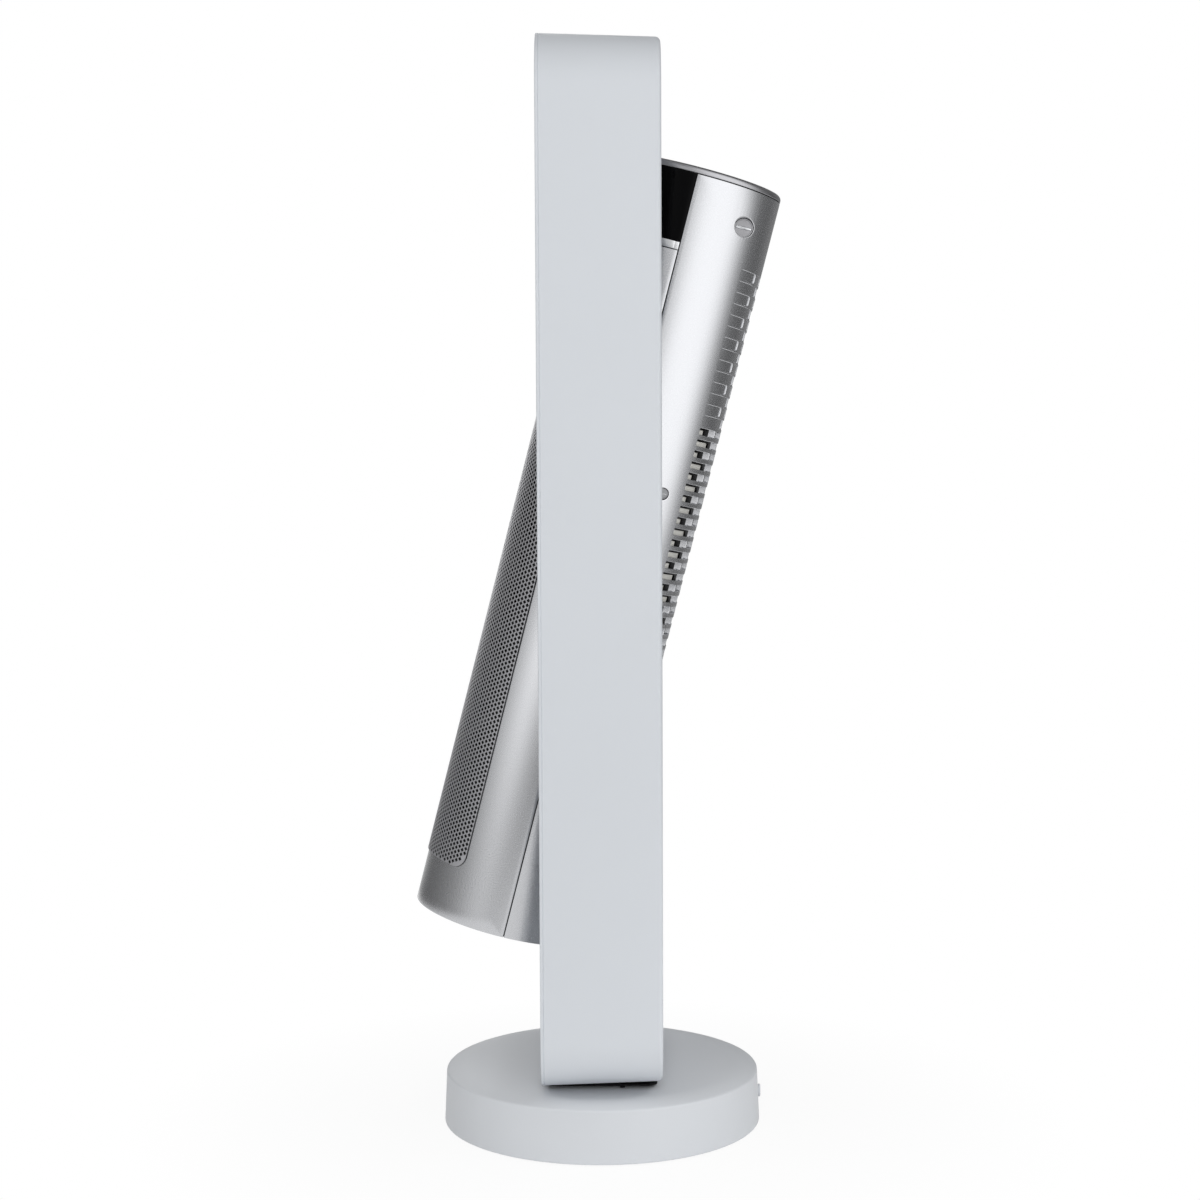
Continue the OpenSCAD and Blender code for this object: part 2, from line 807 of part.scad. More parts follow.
// Channel section of the hoop: closed and rounded at the back, open to the front
function channel_profile() =
    let (r = hoop_edge_r, back_r = band_r(hoop_y1))
    concat(
        [[band_r(cover_y1), cover_y1]],
        [for (i = [0:edge_count])
            let (a = 90 * i / edge_count)
            [back_r - r + r * cos(a), hoop_y1 - r + r * sin(a)]],
        [for (i = [0:edge_count])
            let (a = 90 + 90 * i / edge_count)
            [hoop_in_r + r + r * cos(a), hoop_y1 - r + r * sin(a)]],
        [[hoop_in_r, cover_y1], [hoop_in_r + hoop_wall, cover_y1],
         [hoop_in_r + hoop_wall, hoop_y1 - hoop_wall],
         [band_r(hoop_y1) - hoop_wall, hoop_y1 - hoop_wall],
         [band_r(cover_y1) - hoop_wall, cover_y1]]);
// Section of the flat front cover, with the rim that sits inside the channel
function cover_profile() =
    let (in0 = hoop_in_r + hoop_wall + fit_clear, out0 = band_r(cover_y1) - hoop_wall - fit_clear)
    [[hoop_in_r + cover_bevel, hoop_y0], [hoop_corner_r - cover_bevel, hoop_y0],
     [hoop_corner_r, hoop_y0 + cover_bevel], [band_r(cover_y1), cover_y1],
     [out0, cover_y1], [out0 - hoop_draft * hoop_rim / hoop_d, cover_y1 + hoop_rim],
     [out0 - hoop_cover_t, cover_y1 + hoop_rim], [out0 - hoop_cover_t, cover_y1],
     [in0 + hoop_cover_t, cover_y1], [in0 + hoop_cover_t, cover_y1 + hoop_rim],
     [in0, cover_y1 + hoop_rim], [in0, cover_y1], [hoop_in_r, cover_y1],
     [hoop_in_r, hoop_y0 + cover_bevel]];

// Sweep of a section round the hoop's rounded rectangle
module hoop_sweep(points) {
    both_sides() {
        translate([corner_x, 0, corner_z0])
            linear_extrude(height = corner_z1 - corner_z0)
                polygon(points);
        translate([corner_x, 0, corner_z0])
            rotate([-90, 0, 0])
                rotate_extrude(angle = 90)
                    polygon([for (p = points) [p[0], p[1]]]);
        translate([corner_x, 0, corner_z1])
            mirror([0, 0, 1])
                rotate([-90, 0, 0])
                    rotate_extrude(angle = 90)
                        polygon([for (p = points) [p[0], p[1]]]);
    }
    translate([corner_x, 0, corner_z1])
        rotate([0, -90, 0])
            linear_extrude(height = 2 * corner_x)
                polygon(points);
    translate([corner_x, 0, corner_z0])
        mirror([0, 0, 1])
            rotate([0, -90, 0])
                linear_extrude(height = 2 * corner_x)
                    polygon(points);
}

// The places of the hoop's screw posts, in the middle of the band
module hoop_posts() {
    both_sides()
        for (share = leg_post_shares)
            translate([post_mid_x, 0, corner_z0 + share * (corner_z1 - corner_z0)])
                children();
    for (share = cross_post_shares) {
        translate([share * corner_x, 0, hoop_z1 - (post_mid_x - hoop_x0) - hoop_draft / 2])
            children();
        translate([share * corner_x, 0, hoop_z0 + (post_mid_x - hoop_x0) + hoop_draft / 2])
            children();
    }
}

module hoop_shell() {
    color("#d3d7dc")
        difference() {
            union() {
                hoop_sweep(channel_profile());
                hoop_posts()
                    bar_y(hoop_y1 - hoop_wall - cup_depth, hoop_y1 - hoop_wall, hoop_post_d + 2 * cup_wall);
                around(neck_screw_count, neck_screw_at, 45)
                    bar_z(hoop_z0 + hoop_wall, hoop_z0 + hoop_t - hoop_wall, hoop_post_d);
            }
            hoop_posts() {
                bar_y(hoop_y1 - cup_sink - screw_head_h, hoop_y1 + over, screw_head_d + 2 * screw_clear);
                bar_y(hoop_y1 - hoop_wall - cup_depth - over, hoop_y1, screw_d + 2 * screw_clear);
            }
            neck_screw_pilots();
            bar_z(hoop_z0 - over, hoop_z0 + hoop_wall + over, wire_bore_d);
            both_sides()
                bar_x(hoop_x0 - over, hoop_x0 + hoop_wall + over, 2 * bush_r + screw_clear, 0, pivot_z);
        }
}

module neck_screw_pilots() {
    around(neck_screw_count, neck_screw_at, 45)
        bar_z(hoop_z0 - over, hoop_z0 + hoop_wall + screw_bite + over, neck_screw_d + screw_clear);
}

module hoop_front_cover() {
    post_y1 = hoop_y1 - hoop_wall - cup_depth - screw_clear;
    color("#dadde1")
        difference() {
            union() {
                hoop_sweep(cover_profile());
                hoop_posts()
                    bar_y(hoop_y0 + hoop_cover_t / 2, post_y1, hoop_post_d);
            }
            hoop_posts()
                bar_y(post_y1 - screw_bite - over, post_y1 + over, screw_d + screw_clear);
        }
}

module hoop_screws() {
    post_y1 = hoop_y1 - hoop_wall - cup_depth - screw_clear;
    head_y = hoop_y1 - cup_sink - screw_head_h;
    color("#b9bcc0")
        hoop_posts() {
            bar_y(post_y1 - screw_bite, head_y, screw_d);
            bar_y(head_y, head_y + screw_head_h, screw_head_d);
        }
}

module pivot_bushes() {
    color("#2a2b2d")
        both_sides()
            difference() {
                union() {
                    bar_x(bush_x0, hoop_x0, 2 * bush_flange_r, 0, pivot_z);
                    bar_x(hoop_x0, bush_x1, 2 * bush_r, 0, pivot_z);
                }
                bar_x(bush_x0 - over, bush_x1 + over, pivot_d + 2 * run_clear, 0, pivot_z);
            }
}

module friction_washers() {
    color("#8d8f93")
        both_sides()
            difference() {
                bar_x(washer_x0, bush_x0, collar_d, 0, pivot_z);
                bar_x(washer_x0 - over, bush_x0 + over, pivot_d + 2 * move_clear, 0, pivot_z);
            }
}

module pivot_shafts() {
    color("#c5c9ce")
        tube_frame()
            both_sides()
                difference() {
                    union() {
                        bar_x(duct_out_x, flange_x1, pivot_flange_d, 0, pivot_s);
                        bar_x(flange_x1, washer_x0, collar_d, 0, pivot_s);
                        bar_x(washer_x0, shaft_x1, pivot_d, 0, pivot_s);
                    }
                    bar_x(duct_out_x - over, shaft_x1 + over, pivot_bore_d, 0, pivot_s);
                    pivot_screw_places()
                        bar_x(duct_out_x - over, flange_x1 + over, pivot_screw_d + 2 * screw_clear);
                }
}

// The places of the screws in one pivot flange
module pivot_screw_places() {
    for (i = [0:pivot_screw_count - 1])
        let (a = 90 + i * 360 / pivot_screw_count)
            translate([0, pivot_screw_at * cos(a), pivot_s + pivot_screw_at * sin(a)])
                children();
}

module pivot_screws() {
    color("#b9bcc0")
        tube_frame()
            both_sides()
                pivot_screw_places() {
                    bar_x(duct_x + screw_clear, flange_x1, pivot_screw_d);
                    bar_x(flange_x1, flange_x1 + pivot_screw_head_h, pivot_screw_head_d);
                }
}

module pivot_clips() {
    color("#9b9ea3")
        tube_frame()
            both_sides()
                difference() {
                    bar_x(shaft_x1 - pivot_clip_t, shaft_x1, 2 * clip_r, 0, pivot_s);
                    bar_x(shaft_x1 - pivot_clip_t - over, shaft_x1 + over, pivot_d + screw_clear,
                        0, pivot_s);
                }
}

// Hole in the shells round the pivot collar
module collar_hole() {
    bar_x(-tube_d, tube_d, collar_d + 2 * fit_clear, 0, pivot_s);
}

module front_shell() {
    outlet_w = 2 * tube_r * sin(outlet_half_angle);
    outlet_s0 = mesh_s0 + outlet_margin;
    outlet_s1 = mesh_s0 + mesh_l - outlet_margin;
    display_s = shell_s1 - display_cut_drop - display_cut_h;
    color("#b3b6ba")
        tube_frame()
            difference() {
                union() {
                    half_wall(0, front_s1, shell_in_r, tube_r, true);
                    half_wall(front_s1 - rebate_lap, front_s1, rebate_r, tube_r, true);
                    half_wall(front_s1, shell_s1, rebate_r, shell_in_r, true);
                    for (sx = [-1, 1])
                        for (s = [display_s1 - display_h + display_post_d, display_s1 - display_post_d])
                            intersection() {
                                bar_y(-tube_r, -display_y - board_t, display_post_d,
                                    sx * (display_w / 2 - display_post_d), s);
                                bar_z(display_s1 - display_h, shell_s1, 2 * rebate_r + shell_wall);
                            }
                }
                push_y(-tube_d, 0)
                    round_rect(outlet_w, outlet_s0, outlet_s1, mesh_corner_r);
                push_y(-tube_d, 0)
                    round_rect(display_cut_w - 2 * display_post_d, display_s, display_s + display_cut_h,
                        display_cut_r);
                collar_hole();
            }
}

// Angles of a row's ribs, which stand at multiples of an angle clear of the row's ends
function rib_angles(angle, shift) =
    [for (k = [-3:3]) let (a = (k + shift) * angle) if (abs(a) < vent_half_angle - angle / 2) a];

// One row of openings of height h between ribs
module vent_row(s, h, rib, angle, shift) {
    half = vent_half_angle;
    edges = concat([-half], rib_angles(angle, shift), [half]);
    for (i = [0:len(edges) - 2])
        let (x0 = tube_r * sin(edges[i]) + (i == 0 ? 0 : rib / 2))
            let (x1 = tube_r * sin(edges[i + 1]) - (i == len(edges) - 2 ? 0 : rib / 2))
                translate([x0, s - h / 2])
                    square([x1 - x0, h]);
}

// Fins behind one row's ribs, from the bar above the row to the bar below it
module fin_row(s, shift) {
    for (a = rib_angles(slot_angle, shift))
        translate([tube_r * sin(a) - vent_rib / 2, s - vent_pitch / 2])
            square([vent_rib, vent_pitch]);
}

// Inner end of a plug's screw head, and outer end of the cup's floor
function cup_x(x1, d) = x1 - (plug_t + plug_head_h) * d / plug_d - screw_clear;

// Cup for a plug, with a floor that the screw goes through
module plug_cup(x1, d, y, s) {
    bar_x(cup_x(x1, d) - cup_floor * d / plug_d, tube_r, d + 2 * fit_clear + 2 * cup_wall, y, s);
}

module plug_cup_cut(x1, d, y, s) {
    bar_x(cup_x(x1, d), tube_r + over, d + 2 * fit_clear, y, s);
    bar_x(cup_x(x1, d) - cup_floor - over, cup_x(x1, d) + over, plug_screw_d + 2 * screw_clear, y, s);
}

module rear_shell() {
    color("#c9ccd0")
        tube_frame()
            difference() {
                union() {
                    half_wall(0, shell_s1, shell_in_r, tube_r, false);
                    both_sides()
                        intersection() {
                            union() {
                                plug_cup(plug_x1, plug_d, plug_y, plug_s);
                                plug_cup(small_plug_x1, small_plug_d, small_plug_y, small_plug_s);
                            }
                            bar_z(0, shell_s1, 2 * tube_r);
                        }
                    intersection() {
                        push_y(0, tube_d)
                            for (k = [0:slot_rows - 1])
                                fin_row(slot_s1 - k * vent_pitch, (k % 2) / 2);
                        ring_z(0, shell_s1, shell_in_r - slot_fin_depth, shell_in_r + over);
                    }
                }
                push_y(0, tube_d)
                    for (k = [0:slot_rows - 1])
                        vent_row(slot_s1 - k * vent_pitch, vent_h, vent_rib, slot_angle, (k % 2) / 2);
                difference() {
                    push_y(0, tube_d)
                        for (k = [0:cell_rows - 1])
                            vent_row(vent_s1 - k * vent_pitch, cell_h, cell_rib, cell_angle, (k % 2) / 2);
                    bar_z(0, tube_l, 2 * (tube_r - cell_depth));
                }
                both_sides() {
                    plug_cup_cut(plug_x1, plug_d, plug_y, plug_s);
                    plug_cup_cut(small_plug_x1, small_plug_d, small_plug_y, small_plug_s);
                }
                collar_hole();
            }
}

// Net of the rear inlet, sprung against the fins
module dust_filter() {
    r1 = shell_in_r - slot_fin_depth;
    x1 = r1 * sin(vent_half_angle);
    s0 = slot_s0 - vent_h / 2 - filter_margin;
    s1 = slot_s1 + vent_h / 2 + filter_margin;
    color("#b9b9b4")
        tube_frame()
            intersection() {
                ring_z(s0, s1, r1 - filter_t, r1);
                box([-x1, 0, s0 - over], [x1, tube_r, s1 + over]);
            }
}

// Place of button number i on the cap
function button_x(i) = (i - (button_count - 1) / 2) * button_pitch;

module top_cap() {
    color("#aeb1b5")
        tube_frame()
            difference() {
                union() {
                    rotate_extrude()
                        polygon(concat([[0, cap_s0], [tube_r, cap_s0]],
                            [for (i = [0:edge_count])
                                let (a = 90 * i / edge_count, r = cap_round)
                                [tube_r - r + r * cos(a), tube_l - r + r * sin(a)]],
                            [[0, tube_l]]));
                    ring_z(cap_s0 - cap_rim_h, cap_s0,
                        rebate_r - fit_clear - cap_rim_t, rebate_r - fit_clear);
                }
                for (i = [0:button_count - 1])
                    bar_z(cap_s0 - over, tube_l + over, button_d + 2 * move_clear, button_x(i), -button_y);
            }
}

module bottom_cap() {
    color("#4a4c4f")
        tube_frame() {
            bar_z(foot_cap_s0, foot_cap_s0 + foot_cap_t, 2 * (shell_in_r - fit_clear));
            ring_z(foot_cap_s0 + foot_cap_t, foot_cap_s0 + foot_cap_t + foot_cap_rim,
                shell_in_r - fit_clear - cap_rim_t, shell_in_r - fit_clear);
        }
}

module display_window() {
    color("#0b0b0d")
        tube_frame()
            half_wall(window_s0 + seam_gap / 4, shell_s1, shell_in_r + screw_clear / 2, tube_r, true);
}

module trim_bar() {
    end_y = seam_y - seam_gap / 2 - trim_end;
    s0 = trim_s0;
    s1 = trim_s1 - seam_gap / 4;
    color("#c4c7cb")
        tube_frame()
            union() {
                difference() {
                    ring_z(s0, s1, shell_in_r + screw_clear / 2, tube_r);
                    box([-tube_d, end_y, s0 - over], [tube_d, tube_d, s1 + over]);
                }
                difference() {
                    half_wall(s0, s1, shell_in_r + screw_clear / 2, tube_r - trim_inset, true);
                    box([-tube_d, -tube_d, s0 - over], [tube_d, end_y - over, s1 + over]);
                }
            }
}

module outlet_mesh() {
    sheet_r = tube_r + screw_clear / 2;
    color("#8c8e91")
        tube_frame()
            intersection() {
                ring_z(mesh_s0, mesh_s0 + mesh_l, sheet_r, sheet_r + mesh_t);
                push_y(-tube_d, 0)
                    round_rect(2 * tube_r * sin(mesh_half_angle), mesh_s0, mesh_s0 + mesh_l, mesh_corner_r);
            }
}

module blower_frame() {
    plate_r = shell_in_r - fit_clear;
    guide_y = -duct_x;
    color("#2c2d30")
        tube_frame()
            difference() {
                union() {
                    difference() {
                        bar_z(duct_s0, duct_in_s0, 2 * plate_r);
                        box([-tube_r, -tube_r, duct_s0 - over], [tube_r, guide_y, duct_in_s0 + over]);
                    }
                    intersection() {
                        bar_z(duct_s0 - 2 * guide_drop, duct_in_s0, 2 * plate_r);
                        rotate([90, 0, 90])
                            translate([0, 0, -plate_r])
                                linear_extrude(height = 2 * plate_r)
                                    polygon([[guide_y, duct_s0], [guide_y, duct_in_s0],
                                        [guide_y - guide_run, duct_in_s0 - guide_drop],
                                        [guide_y - guide_run, duct_s0 - guide_drop]]);
                    }
                    bar_z(duct_s1, duct_s1 + duct_plate_t, 2 * plate_r);
                    both_sides()
                        box([duct_x, duct_front_y, duct_in_s0 - duct_plate_t / 2],
                            [duct_out_x, duct_back_y, duct_s1 + duct_plate_t / 2]);
                }
                translate([0, wheel_y, 0]) {
                    bar_z(duct_s0 - over, duct_in_s0 + over, shaft_d + 2 * wheel_end_gap);
                    bar_z(duct_s1 - over, duct_s1 + duct_plate_t + over,
                        shaft_d + 2 * bearing_wall + screw_clear);
                }
                both_sides() {
                    bar_x(duct_x - over, duct_out_x + over, pivot_bore_d, 0, pivot_s);
                    pivot_screw_places()
                        bar_x(duct_x - over, duct_out_x + over, pivot_screw_d + screw_clear);
                    bar_x(duct_x - over, duct_out_x + over, plug_screw_d + screw_clear,
                        small_plug_y, small_plug_s);
                }
            }
}

module air_scroll() {
    r0 = wheel_r + scroll_gap;
    r1 = r0 + scroll_t;
    a0 = scroll_angle_from;
    a1 = scroll_angle_to;
    tail_y = wheel_y + r0 * sin(a1);
    color("#3a3c40")
        tube_frame()
            translate([0, 0, duct_in_s0])
                linear_extrude(height = duct_s1 - duct_in_s0) {
                    intersection() {
                        translate([0, wheel_y])
                            difference() {
                                circle(r = r1);
                                circle(r = r0);
                            }
                        translate([0, wheel_y])
                            polygon([[0, 0], [2 * r1 * cos(a0), 2 * r1 * sin(a0)], [-4 * r1, 0],
                                [2 * r1 * cos(a1), 2 * r1 * sin(a1)]]);
                    }
                    translate([-duct_x, wheel_y + r0 * sin(a0) - scroll_t / 2])
                        square([duct_x + (r0 + scroll_t / 2) * cos(a0), scroll_t]);
                    translate([-duct_x, tail_y - scroll_t / 2])
                        square([duct_x + (r0 + scroll_t / 2) * cos(a1), scroll_t]);
                }
}

module vortex_tongue() {
    x0 = wheel_r + scroll_gap;
    color("#3a3c40")
        tube_frame()
            translate([0, 0, duct_in_s0])
                linear_extrude(height = duct_s1 - duct_in_s0) {
                    translate([x0, wheel_y - tongue_t / 2])
                        square([duct_x - x0, tongue_t]);
                    translate([x0, wheel_y])
                        circle(d = tongue_t);
                }
}

module blower_wheel() {
    color("#55585c")
        tube_frame()
            translate([0, wheel_y, 0]) {
                mid_s = (wheel_s0 + wheel_s1 - wheel_disc_t) / 2;
                for (s = [wheel_s0, mid_s, wheel_s1 - wheel_disc_t])
                    bar_z(s, s + wheel_disc_t, wheel_d);
                bar_z(duct_s0 - fan_post_l - shaft_into_motor, duct_s1 + duct_plate_t + bearing_lip,
                    shaft_d);
                intersection() {
                    translate([0, 0, wheel_s0])
                        linear_extrude(height = wheel_s1 - wheel_s0)
                            for (i = [0:blade_count - 1])
                                rotate(i * 360 / blade_count)
                                    translate([wheel_r - blade_depth / 2, 0])
                                        rotate(blade_lean)
                                            square([blade_depth, blade_t], center = true);
                    bar_z(wheel_s0, wheel_s1, wheel_d);
                }
            }
}

module wheel_bearing() {
    color("#b08d57")
        tube_frame()
            translate([0, wheel_y, 0])
                ring_z(duct_s1, duct_s1 + duct_plate_t + bearing_lip,
                    shaft_r + run_clear, shaft_r + bearing_wall);
}

module blower_motor() {
    color("#8e9196")
        tube_frame()
            translate([0, wheel_y, 0])
                difference() {
                    union() {
                        bar_z(motor_s0, motor_s1, fan_motor_d);
                        bar_z(motor_s1, motor_s1 + fan_boss_h, fan_boss_d);
                        around(3, fan_post_at, 90)
                            bar_z(motor_s1, duct_s0, fan_post_d);
                    }
                    bar_z(motor_s1 - shaft_into_motor - move_clear, motor_s1 + fan_boss_h + over,
                        shaft_d + 2 * run_clear);
                }
}

module heater_frame() {
    color("#3b3733")
        tube_frame()
            difference() {
                box([-duct_x, heater_y0, heater_s0], [duct_x, heater_y1, heater_s1]);
                box([-duct_x + heater_rail, heater_y0 - over, heater_s0 + heater_rail],
                    [duct_x - heater_rail, heater_y1 + over, heater_s1 - heater_rail]);
            }
}

// Distance between the middles of the heating bars
function bar_step() = (duct_w - 2 * heater_rail) / (bar_count + 1);

module heater_elements() {
    inset = heater_depth / 8;
    color("#c9c4b8")
        tube_frame()
            for (i = [1:bar_count])
                let (x = -duct_x + heater_rail + i * bar_step())
                    box([x - bar_t / 2, heater_y0 + inset, heater_s0 + heater_rail],
                        [x + bar_t / 2, heater_y1 - inset, heater_s1 - heater_rail]);
}

module heater_fins() {
    inset = heater_depth / 8;
    s0 = heater_s0 + heater_rail;
    s1 = heater_s1 - heater_rail;
    color("#a7abb0")
        tube_frame()
            push_y(heater_y0 + inset, heater_y1 - inset)
                for (i = [0:bar_count])
                    let (at = -duct_x + heater_rail + i * bar_step())
                        let (x0 = at + (i == 0 ? 0 : bar_t / 2))
                        let (x1 = at + bar_step() - (i == bar_count ? 0 : bar_t / 2)) {
                            translate([x0, s0])
                                square([fin_t, s1 - s0]);
                            translate([x1 - fin_t, s0])
                                square([fin_t, s1 - s0]);
                            for (s = [s0 + fin_pitch / 2:fin_pitch:s1 - fin_t])
                                translate([x0, s])
                                    square([x1 - x0, fin_t]);
                        }
}

module thermal_cutout() {
    color("#d8d2c4")
        tube_frame() {
            bar_y(heater_y1, heater_y1 + cutout_h / 2, cutout_d, duct_x - cutout_d,
                heater_s1 - cutout_d / 2);
            bar_y(heater_y1 + cutout_h / 2, heater_y1 + cutout_h, cutout_d / 2, duct_x - cutout_d,
                heater_s1 - cutout_d / 2);
        }
}

module board_carrier() {
    color("#33353a")
        tube_frame()
            difference() {
                union() {
                    box([-carrier_w / 2, carrier_y0, carrier_s0],
                        [carrier_w / 2, carrier_y1, shelf_s0 + shelf_t]);
                    box([-button_board_w / 2, button_board_y0, shelf_s0],
                        [button_board_w / 2, carrier_y1, shelf_s0 + shelf_t]);
                    both_sides()
                        box([lug_x1 - lug_w, carrier_y0, plug_s - lug_w / 2],
                            [lug_x1, plug_y + lug_w / 2, plug_s + lug_w / 2]);
                    control_posts()
                        bar_y(control_y1, carrier_y0, standoff_d);
                }
                both_sides()
                    bar_x(lug_x1 - lug_w - over, lug_x1 + over, plug_screw_d + screw_clear, plug_y, plug_s);
                bar_z(carrier_s0 - over, carrier_s0 + bearing_lip + fit_clear,
                    shaft_d + 2 * bearing_wall + 2 * fit_clear, 0, wheel_y);
            }
}

// The places of the control board's standoffs
module control_posts() {
    for (sx = [-1, 1])
        for (s = [control_s0 + standoff_d, control_s1 - standoff_d])
            translate([sx * (control_w / 2 - standoff_d), 0, s])
                children();
}

module control_board() {
    y0 = control_y1 - board_t;
    relay_s = control_s0 + relay_t;
    color("#2f6b3c")
        tube_frame() {
            box([-control_w / 2, y0, control_s0], [control_w / 2, control_y1, control_s1]);
            for (x = [-relay_w - relay_t, relay_t])
                box([x, y0 - relay_t, relay_s], [x + relay_w, y0, relay_s + relay_h]);
            box([-sink_w / 2, y0 - relay_t, control_s1 - sink_h - standoff_d],
                [sink_w / 2, y0, control_s1 - standoff_d]);
            bar_y(y0 - relay_t, y0, capacitor_d, 0, relay_s);
        }
}

module display_board() {
    digits_s = shell_s1 - display_cut_drop - display_cut_h / 2;
    color("#2f6b3c")
        tube_frame() {
            box([-display_w / 2, -display_y - board_t, display_s1 - display_h],
                [display_w / 2, -display_y, display_s1]);
            box([-digits_w / 2, -display_y - board_t - digits_t, digits_s - digits_h / 2],
                [digits_w / 2, -display_y - board_t, digits_s + digits_h / 2]);
        }
}

module button_board() {
    color("#2f6b3c")
        tube_frame() {
            box([-button_board_w / 2, button_board_y0, button_board_s0],
                [button_board_w / 2, button_board_y1, button_board_s0 + board_t]);
            for (i = [0:button_count - 1])
                translate([button_x(i) - key_w / 2, -button_y - key_w / 2, button_board_s0 + board_t])
                    cube([key_w, key_w, key_h]);
        }
}

// A push button: head, retaining flange under the cap, and stem down to its key
module push_button(i) {
    color("#e3e5e8")
        tube_frame() {
            bar_z(button_flange_s1 - button_flange_t, button_top_s, button_d, button_x(i), -button_y);
            bar_z(button_flange_s1 - button_flange_t, button_flange_s1, button_d + 2 * button_flange_rim,
                button_x(i), -button_y);
            bar_z(button_stem_s0, button_flange_s1 - button_flange_t, button_stem_d, button_x(i), -button_y);
        }
}

module power_button() {
    push_button(0);
}

module heat_button() {
    push_button(1);
}

module timer_button() {
    push_button(2);
}

module swing_button() {
    push_button(3);
}

// A round plug with a shallow tapered dish in its face
module plug(x1, d, y, s) {
    dish = plug_dish * d / plug_d;
    difference() {
        bar_x(x1 - plug_t * d / plug_d, x1, d, y, s);
        translate([x1 - dish, y, s])
            rotate([0, 90, 0])
                cylinder(h = 2 * dish, d1 = d / 2, d2 = plug_flare_share * d);
    }
}

module screw_plugs() {
    color("#9da0a4")
        tube_frame()
            both_sides() {
                plug(plug_x1, plug_d, plug_y, plug_s);
                plug(small_plug_x1, small_plug_d, small_plug_y, small_plug_s);
            }
}

// A screw at the floor of a plugged recess, reaching inwards to x0
module plug_screw(x0, x1, d, y, s) {
    bar_x(cup_x(x1, d), cup_x(x1, d) + plug_head_h * d / plug_d, plug_head_d, y, s);
    bar_x(x0, cup_x(x1, d), plug_screw_d, y, s);
}

module shell_screws() {
    color("#b9bcc0")
        tube_frame()
            both_sides() {
                plug_screw(lug_x1 - lug_w / 2, plug_x1, plug_d, plug_y, plug_s);
                plug_screw(duct_x, small_plug_x1, small_plug_d, small_plug_y, small_plug_s);
            }
}

base_shell();
base_plate();
ballast_ring();
rubber_feet();
base_screws();
cable_gland();
osc_motor();
osc_pinion();
tip_switch();
tip_plunger();
swivel_bearing();
swivel_neck();
swivel_gear();
neck_screws();
hoop_shell();
hoop_front_cover();
hoop_screws();
pivot_bushes();
friction_washers();
pivot_shafts();
pivot_clips();
pivot_screws();
front_shell();
rear_shell();
top_cap();
bottom_cap();
display_window();
trim_bar();
outlet_mesh();
blower_frame();
air_scroll();
vortex_tongue();
wheel_bearing();
blower_motor();
heater_frame();
heater_elements();
heater_fins();
thermal_cutout();
board_carrier();
control_board();
display_board();
button_board();
screw_plugs();
shell_screws();
dust_filter();
blower_wheel();
power_button();
heat_button();
timer_button();
swing_button();
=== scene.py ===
"""Looks of a tower fan heater: a silver heater tube tilting in a tall pale hoop on a disc base.

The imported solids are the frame. Each visible solid gets a finely modelled piece in its place, and the
inner solids keep their shape and get a material of their own. Sizes are millimetres, turned to metres
where a mesh is finished. The tube's own coordinates are x across, y from front to back and s along the
tube from its lower end.
"""

import logging
import math
from dataclasses import dataclass, field, replace
from enum import Enum
from itertools import product
from typing import Any, Callable, Iterable, Optional, Sequence

import bmesh
import bpy
from mathutils import Euler, Matrix, Vector


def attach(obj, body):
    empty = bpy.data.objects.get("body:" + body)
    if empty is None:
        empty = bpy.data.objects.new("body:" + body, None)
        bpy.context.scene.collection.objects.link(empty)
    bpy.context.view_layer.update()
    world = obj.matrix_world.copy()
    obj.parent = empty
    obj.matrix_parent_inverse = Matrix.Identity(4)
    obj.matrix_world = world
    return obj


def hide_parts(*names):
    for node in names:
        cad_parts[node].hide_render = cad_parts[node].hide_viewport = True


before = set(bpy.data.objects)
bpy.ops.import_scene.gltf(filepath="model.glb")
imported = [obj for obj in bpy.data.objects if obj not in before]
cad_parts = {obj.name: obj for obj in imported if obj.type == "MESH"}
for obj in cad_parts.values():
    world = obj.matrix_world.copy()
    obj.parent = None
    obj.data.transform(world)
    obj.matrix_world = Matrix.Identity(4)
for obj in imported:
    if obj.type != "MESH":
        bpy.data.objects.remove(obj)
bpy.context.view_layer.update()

MM = 0.001
LOG = logging.getLogger("tower_heater")

Mesh = bmesh.types.BMesh
Place = Callable[[Vector], Vector]
Geometry = list[Any]
Span = tuple[float, float]
Spot = tuple[float, float, float]
Profile = list[Span]


class Body(Enum):
    """The bodies that pieces ride on."""

    BASE = "base"
    HOOP = "hoop"
    TUBE = "tube"
    POWER = "power"
    HEAT = "heat"
    TIMER = "timer"
    SWING = "swing"


class Slot(Enum):
    """The material slots that pieces name."""

    BODY = "silver_body"
    DARK = "black_plastic"
    TRIM = "light_trim"
    PLUG = "grey_trim"
    MESH = "mesh_metal"
    WINDOW = "window_black"
    CAST = "cast_alloy"


class Facing(Enum):
    """Which way a half of the tube looks, as its sign along y."""

    FRONT = -1
    REAR = 1


class Carving(Enum):
    """What a Boolean does with the second mesh."""

    CUT = "DIFFERENCE"
    ADD = "UNION"


class Bevelled(Enum):
    """What a bevel works on."""

    EDGES = "EDGES"
    CORNERS = "VERTICES"


def linear(code: str) -> tuple[float, float, float, float]:
    """Turns an sRGB hex colour into linear values by the standard sRGB curve.

    Args:
        code: six hex digits, such as "c8ccd0".

    Returns:
        Red, green, blue and an alpha of one, in scene-linear values.
    """
    parts = [int(code[i : i + 2], 16) / 255 for i in (0, 2, 4)]
    lin = [p / 12.92 if p <= 0.04045 else ((p + 0.055) / 1.055) ** 2.4 for p in parts]
    return (lin[0], lin[1], lin[2], 1.0)


